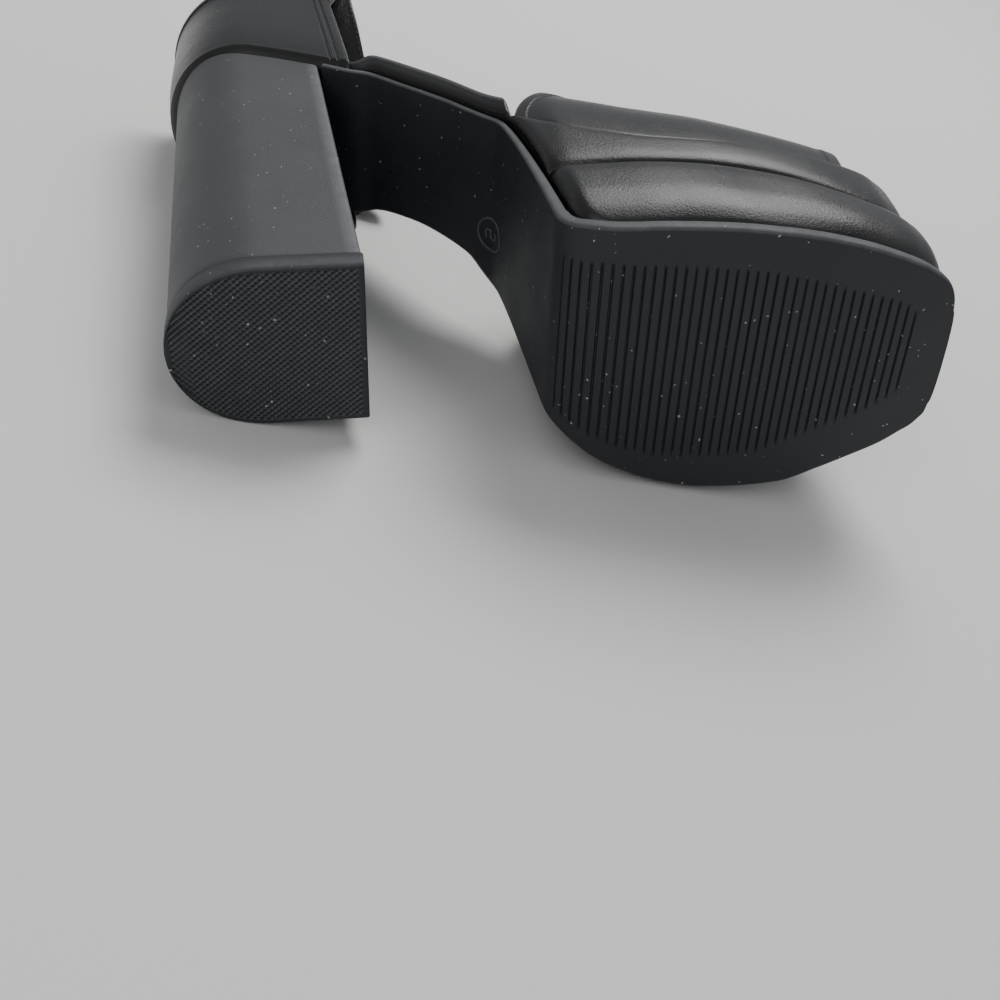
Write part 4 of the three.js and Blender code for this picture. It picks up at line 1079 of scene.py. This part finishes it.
# run and face distance of each place through the buckle, to the strap's tip
THROUGH_BUCKLE = [
    (-frame_end - ENTRY_LEAD, -passing - ENTRY_SINK), (-bar_middle, -passing - BAR_CLEARANCE),
    (0, 0), (bar_middle, passing + BAR_CLEARANCE), (bar_middle + TAIL_LEAD, layered),
    (TAIL_END, layered),
]
strap_route = [(strap_point(*place[:3]), place[3]) for place in SLACK_PATH]
strap_route += [(on_buckle(run, face), buckle_wide) for run, face in THROUGH_BUCKLE]
buckle_route = [
    (strap_point(0.768, -1, 0.581), (0.9, 0, -0.4)),
    (strap_point(0.848, -1, 0.796), (0.9, 0, -0.4)),
    (buckle_exit, buckle_wide), (on_buckle(frame_end + HOLDER_LEAD, 0), buckle_wide),
    (on_buckle(frame_end + GAP, 0), buckle_wide),
]
add_rings("ankle_strap_band", band_rings(strap_route, 260, round_tip=5.5), [wrap], "black_wrap",
          stands_for=["ankle_strap"])
add_rings("buckle_strap_band", band_rings(buckle_route, 110), [wrap], "black_wrap",
          stands_for=["buckle_strap"])

# %% [markdown]
# **Buckle and keeper.** The frame is a round bar bent to a rounded rectangle, the prong a tapered
# pin resting on it, and the keeper a small leather loop. A bar is a small circle carried round a
# closed path, so the frame has no seam.


# %% Closed loops in the buckle's plane
def rounded_rectangle(half_run, half_wide, corner, steps=10):
    """Points and outward normals round a rectangle with quarter-circle corners."""
    t = np.linspace(0, math.pi / 2, steps)
    normals, places = [], []
    for sign_run, sign_wide, first in ((1, 1, 0), (-1, 1, 1), (-1, -1, 2), (1, -1, 3)):
        a = t + first * math.pi / 2
        normal = np.stack([np.cos(a), np.sin(a)], -1)
        centre = np.array([sign_run * (half_run - corner), sign_wide * (half_wide - corner)])
        normals.append(normal)
        places.append(centre + corner * normal)
    return np.concatenate(places), np.concatenate(normals)


place, normal = rounded_rectangle(bar_middle, (OPENING_WIDE + BUCKLE_BAR) / 2, 2.2)
ring = full_turn(16)
bar = BUCKLE_BAR / 2
out = bar * np.cos(ring)
run = place[:, :1] + normal[:, :1] * out
wide = place[:, 1:] + normal[:, 1:] * out
face = np.broadcast_to(bar * 0.92 * np.sin(ring), run.shape)
add_rings("buckle_frame_bar", on_buckle(run, face, wide), [steel], "buckle_metal", ends="loop",
          stands_for=["buckle_frame"])
PIN_RADIUS = 0.72
t = np.linspace(0, 1, 40)
pin = PIN_RADIUS * np.sqrt(np.clip(1 - (2 * t - 1) ** 14, 0.02, 1)) * mix(1.0, 0.78, t)
reach = bar_middle + bar
run = -0.4 - reach * t[:, None] + 0 * ring
face = bar + GAP + 0.7 + pin[:, None] * np.sin(ring) - 0.25 * (t[:, None]) ** 3
add_rings("buckle_prong_pin", on_buckle(run, face, pin[:, None] * np.cos(ring)), [steel],
          "buckle_metal", stands_for=["buckle_prong"])
high, broad = 2 * STRAP_THICKNESS + 4 * GAP, STRAP_WIDTH + 2 * GAP + 0.4
place, normal = rounded_rectangle((high + KEEPER_WALL) / 2, (broad + KEEPER_WALL) / 2, 1.1)
half_wall, half_width = KEEPER_WALL / 2, KEEPER_WIDTH / 2
corner = np.radians([10, 45, 80])
section = np.array([(half_wall - 0.4 + 0.4 * np.cos(c), half_width - 0.4 + 0.4 * np.sin(c))
                    for c in corner])
section = np.concatenate([section, section[::-1] * [-1, 1], -section, section[::-1] * [1, -1]])
face = layered / 2 + place[:, :1] + normal[:, :1] * section[:, 0]
wide = place[:, 1:] + normal[:, 1:] * section[:, 0]
run = frame_end + KEEPER_SPACE + half_width + section[:, 1] + 0 * face
add_rings("keeper_loop", on_buckle(run, face, wide), [wrap], "black_wrap", ends="loop",
          stands_for=["strap_keeper"])

# %% [markdown]
# **Stitches.** Rows of black thread follow the bound edges and the straps. Each stitch is a small
# capsule half sunk in the leather, and a row is one mesh. A bump could fake them, but the real
# thread catches light in short dashes.


# %% A row of stitches
def stitch_row(name, path, normals, spacing=2.5, length=1.75, radius=0.24, sink=0.06):
    """Capsules along a path: centres at equal steps of its length, each a six-sided ring stack
    x = length/2·s, with radius·sqrt(1 - s^6) round it."""
    gone = way_along(path)
    middles = np.arange(spacing / 2, gone[-1], spacing)

    def at(values, where):
        return np.stack([np.interp(where, gone, values[:, i]) for i in range(3)], -1)

    centre = at(path, middles)
    run = unit(at(path, middles + 0.3) - at(path, middles - 0.3))
    up = at(normals, middles)
    up = unit(up - run * (up * run).sum(1, keepdims=True))
    side = np.cross(run, up)
    s = np.array([-0.99, -0.8, 0, 0.8, 0.99])
    swell = radius * np.sqrt(1 - np.abs(s) ** 5)
    a = full_turn(6)
    lift = swell[:, None] * np.sin(a) - sink
    shape = (run[:, None, None] * (s * length / 2)[:, None, None]
             + up[:, None, None] * lift[..., None]
             + side[:, None, None] * (swell[:, None] * np.cos(a))[..., None])
    rings = centre[:, None, None] + shape
    one_quads, one_tris = ring_faces(5, 6, "fan")
    caps = np.stack([rings[:, 0].mean(1), rings[:, -1].mean(1)], 1)
    points = np.concatenate([rings.reshape(len(middles), -1, 3), caps], 1)
    offset = (np.arange(len(middles)) * points.shape[1])[:, None, None]
    quads, tris = (one_quads + offset).reshape(-1, 4), (one_tris + offset).reshape(-1, 3)
    return add_piece(name, points.reshape(-1, 3), quads, tris, [thread], "black_wrap")


def grid_normals(grid):
    """Normals of a point grid: the cross product of its two directions of change."""
    return unit(np.cross(np.gradient(grid, axis=0), np.gradient(grid, axis=1)))


def away_from(normals, inner_side):
    """Normals turned to point away from the wall's inner side."""
    flip = np.sign((normals * -inner_side).sum(-1, keepdims=True))
    return normals * flip


# %% The rows
vamp_normals = away_from(grid_normals(vamp_outer), vamp_inner - vamp_outer)


def row_on(grid, normals, at_distance, values):
    """A line across each row of a grid, where the row's distances reach at_distance."""
    line = np.stack([[np.interp(at_distance, d, g[:, i]) for i in range(3)]
                     for d, g in zip(values, grid)])
    out = np.stack([[np.interp(at_distance, d, n[:, i]) for i in range(3)]
                    for d, n in zip(values, normals)])
    return line, unit(out)


# distance of each row from its edge, and of a strap's rows from its middle
VAMP_REAR_ROW, VAMP_TOE_ROW, COUNTER_TOP_ROW, COUNTER_FRONT_ROW = 3.4, 4.6, 3.4, 3.8
STRAP_ROW = 4.35
vamp_x = vamp_outer[..., 0]
line, out = row_on(vamp_outer, vamp_normals, VAMP_REAR_ROW, vamp_x - rear)
stitch_row("vamp_rear_stitches", line[6:-6], out[6:-6])
line, out = row_on(vamp_outer[:, ::-1], vamp_normals[:, ::-1], VAMP_TOE_ROW,
                   (front - vamp_x)[:, ::-1])
stitch_row("vamp_toe_stitches", line[6:-6], out[6:-6])

# %% Stitches round the counter's edge
wall = outer[:, 4:]
wall_normals = away_from(grid_normals(wall), inner[:, 4:] - wall)
down = (1 - share)[::-1]
line, out = row_on(wall[:, ::-1], wall_normals[:, ::-1], COUNTER_TOP_ROW,
                   [down * COUNTER_HEIGHT] * len(wall))
stitch_row("counter_top_stitches", line[8:-8], out[8:-8])
for side, rows in (("lateral", slice(0, 24)), ("medial", slice(-1, -25, -1))):
    gap = from_front[rows, 0]
    part, normal_part = wall[rows].transpose(1, 0, 2), wall_normals[rows].transpose(1, 0, 2)
    line, out = row_on(part, normal_part, COUNTER_FRONT_ROW, [gap] * len(part))
    stitch_row(f"counter_{side}_stitches", line[3:-4], out[3:-4])

# %% Stitches on the straps
for name, route, last in (("ankle_strap", strap_route, -8), ("buckle_strap", buckle_route, -4)):
    at, run, wide, face = band_frames(route, 300)
    for side, sign in (("upper", 1), ("lower", -1)):
        for cover, facing in (("outer", 1), ("inner", -1)):
            line = at + wide * sign * STRAP_ROW + face * facing * STRAP_THICKNESS / 2
            stitch_row(f"{name}_{side}_{cover}_stitches", line[4:last], (face * facing)[4:last],
                       spacing=2.2, length=1.5, radius=0.19)

# %% [markdown]
# ** Small marks.** The strap has a row of punched holes, and the shank carries a moulded ring with
# a plain figure in it. A hole is a plug all but flush with the strap's two faces, painted
# near-black as the shade inside the hole. The ring and its figure are fine round beads laid on the
# shank's surface.

# %% Punched holes
HOLE_PITCH, HOLE_RADIUS, HOLES = 8.8, 0.95, 5
SECOND_HOLE_Y, SECOND_HOLE_Z = -14, 190.4
at, run, wide, face = band_frames(strap_route, 600)
gone = way_along(at)
second = gone[np.argmin(np.abs(at[:, 1] - SECOND_HOLE_Y) + np.abs(at[:, 2] - SECOND_HOLE_Z))]
turns = full_turn(24)
for number in range(HOLES):
    k = np.searchsorted(gone, second + (number - 1) * HOLE_PITCH)
    circle = np.cos(turns)[:, None] * run[k] + np.sin(turns)[:, None] * wide[k]
    ring = at[k] + HOLE_RADIUS * circle
    depth = face[k] * (STRAP_THICKNESS / 2 + 0.03)
    add_rings(f"punched_hole_{number + 1}", np.stack([ring - depth, ring + depth]), [hole_shade],
              "black_wrap")


# %% The moulded ring and figure on the shank
def on_sole(way, y, lift):
    """A point of the sole unit's face by its way from the toe, its y and a lift off the face."""
    x, z = (np.interp(way, dense_way[::-1], c[::-1]) for c in (dense_x, dense_z))
    ahead, height = (np.interp(way + 0.2, dense_way[::-1], c[::-1]) for c in (dense_x, dense_z))
    run = unit(np.stack([ahead - x, height - z], -1))
    return xyz(x + run[..., 1] * lift, y, z - run[..., 0] * lift)


BEAD_SIDES = 8


def bead(name, way, y, radius, ends):
    """A round bead half sunk in the sole unit along a line of (way, y)."""
    turns = full_turn(BEAD_SIDES)
    along = np.stack([np.gradient(way), np.gradient(y)], -1)
    if ends == "loop":
        along = np.stack([np.roll(way, -1) - np.roll(way, 1), np.roll(y, -1) - np.roll(y, 1)], -1)
    aside = unit(np.stack([-along[:, 1], along[:, 0]], -1))[:, None]
    spread = radius * np.cos(turns)[None, :, None] * aside
    rings = on_sole(way[:, None] + spread[..., 0], y[:, None] + spread[..., 1],
                    radius * np.sin(turns) * 0.9)
    # The edge value paints the whole bead paler: a painted highlight on the raised ring and figure.
    add_rings(name, rings, [rubber], "sole_rubber", ends=ends, edge=np.full(BEAD_SIDES, 0.9))


MARK_X, MARK_Y, MARK_RADIUS, RING_BEAD, FIGURE_BEAD = 98.4, 8.6, 5.6, 0.42, 0.38
above = dense_z > PLATFORM_HEIGHT + 12
MARK_WAY = float(np.interp(MARK_X, dense_x[above][::-1], dense_way[above][::-1]))
turn = full_turn(60)
bead("size_ring", MARK_WAY + MARK_RADIUS * np.cos(turn), MARK_Y + MARK_RADIUS * np.sin(turn),
     RING_BEAD, "loop")
# strokes of the figure: across the foot, then along it
FIGURE = [(1.5, 2.2), (-1.0, 2.2), (-1.2, 0.3), (0.4, 0.5), (1.5, -0.4), (1.5, -1.6), (0.4, -2.4),
          (-1.4, -2.2)]
t = np.linspace(0, 1, 50)
stroke = soft_curve(FIGURE, t)
bead("size_figure", MARK_WAY - stroke[:, 1], MARK_Y + stroke[:, 0], FIGURE_BEAD,
     "fan")

# %% [markdown]
# **Floor, light and camera.** A plain pale floor, one large soft light above and behind, a weak
# one from the front, and a pale sky. The camera stands where the photograph was taken from: low,
# in front of the walking face, slightly rolled.

# %% The floor
FLOOR_HALF = 4.0
FLOOR_CORNERS = ((-1, -1), (1, -1), (1, 1), (-1, 1))
floor_mesh = bpy.data.meshes.new("floor")
floor_mesh.from_pydata([(FLOOR_HALF * x, FLOOR_HALF * y, 0) for x, y in FLOOR_CORNERS],
                       [], [(0, 1, 2, 3)])
floor = add_object("floor", floor_mesh)
floor_finish = bpy.data.materials.new("pale floor")
floor_finish.use_nodes = True
floor_shader = floor_finish.node_tree.nodes["Principled BSDF"]
floor_shader.inputs["Base Color"].default_value = (0.67, 0.67, 0.65, 1)
floor_shader.inputs["Roughness"].default_value = 0.85
floor_mesh.materials.append(floor_finish)

# %% Light
world = bpy.data.worlds.new("pale sky")
world.use_nodes = True
world.node_tree.nodes["Background"].inputs["Color"].default_value = (0.95, 0.97, 1.0, 1)
world.node_tree.nodes["Background"].inputs["Strength"].default_value = 0.46
bpy.context.scene.world = world


def placing(axes, place):
    """The matrix that turns an object's x, y and z to three unit vectors and moves it to place."""
    rows = zip(np.stack(axes, 1), place)
    return Matrix([(*row, p) for row, p in rows] + [(0, 0, 0, 1)])


def soft_light(name, place, size, power, aim=(0, 0, 0.05)):
    """A square area light at place, facing aim."""
    data = bpy.data.lights.new(name, "AREA")
    data.size, data.energy = size, power
    lamp = add_object(name, data)
    back = unit(np.array(place, float) - np.array(aim))
    right = unit(np.cross([0.0, 0.0, 1.0], back))
    lamp.matrix_world = placing([right, np.cross(back, right), back], place)


soft_light("top softbox", (0.3, 0.7, 1.4), 0.9, 24)
soft_light("front fill", (-0.9, -1.3, 1.0), 1.0, 8)

# %% Camera
CAMERA_PLACE = (40.9, -217.7, -321.4)
CAMERA_RIGHT = (0.99048, -0.03049, -0.13422)
CAMERA_UP = (0.06404, -0.76108, 0.64549)
CAMERA_BACK = (-0.12183, -0.64794, -0.75188)
camera_data = bpy.data.cameras.new("camera")
camera_data.sensor_width = 36
camera_data.lens = 50.4
camera_data.clip_start = 0.01
camera = add_object("camera", camera_data)
turned = unit(np.array([CAMERA_RIGHT, CAMERA_UP, CAMERA_BACK]) @ shoe_axes)
camera.matrix_world = placing(turned, in_row(CAMERA_PLACE))
bpy.context.scene.camera = camera
print("camera at", in_row(CAMERA_PLACE).round(3))
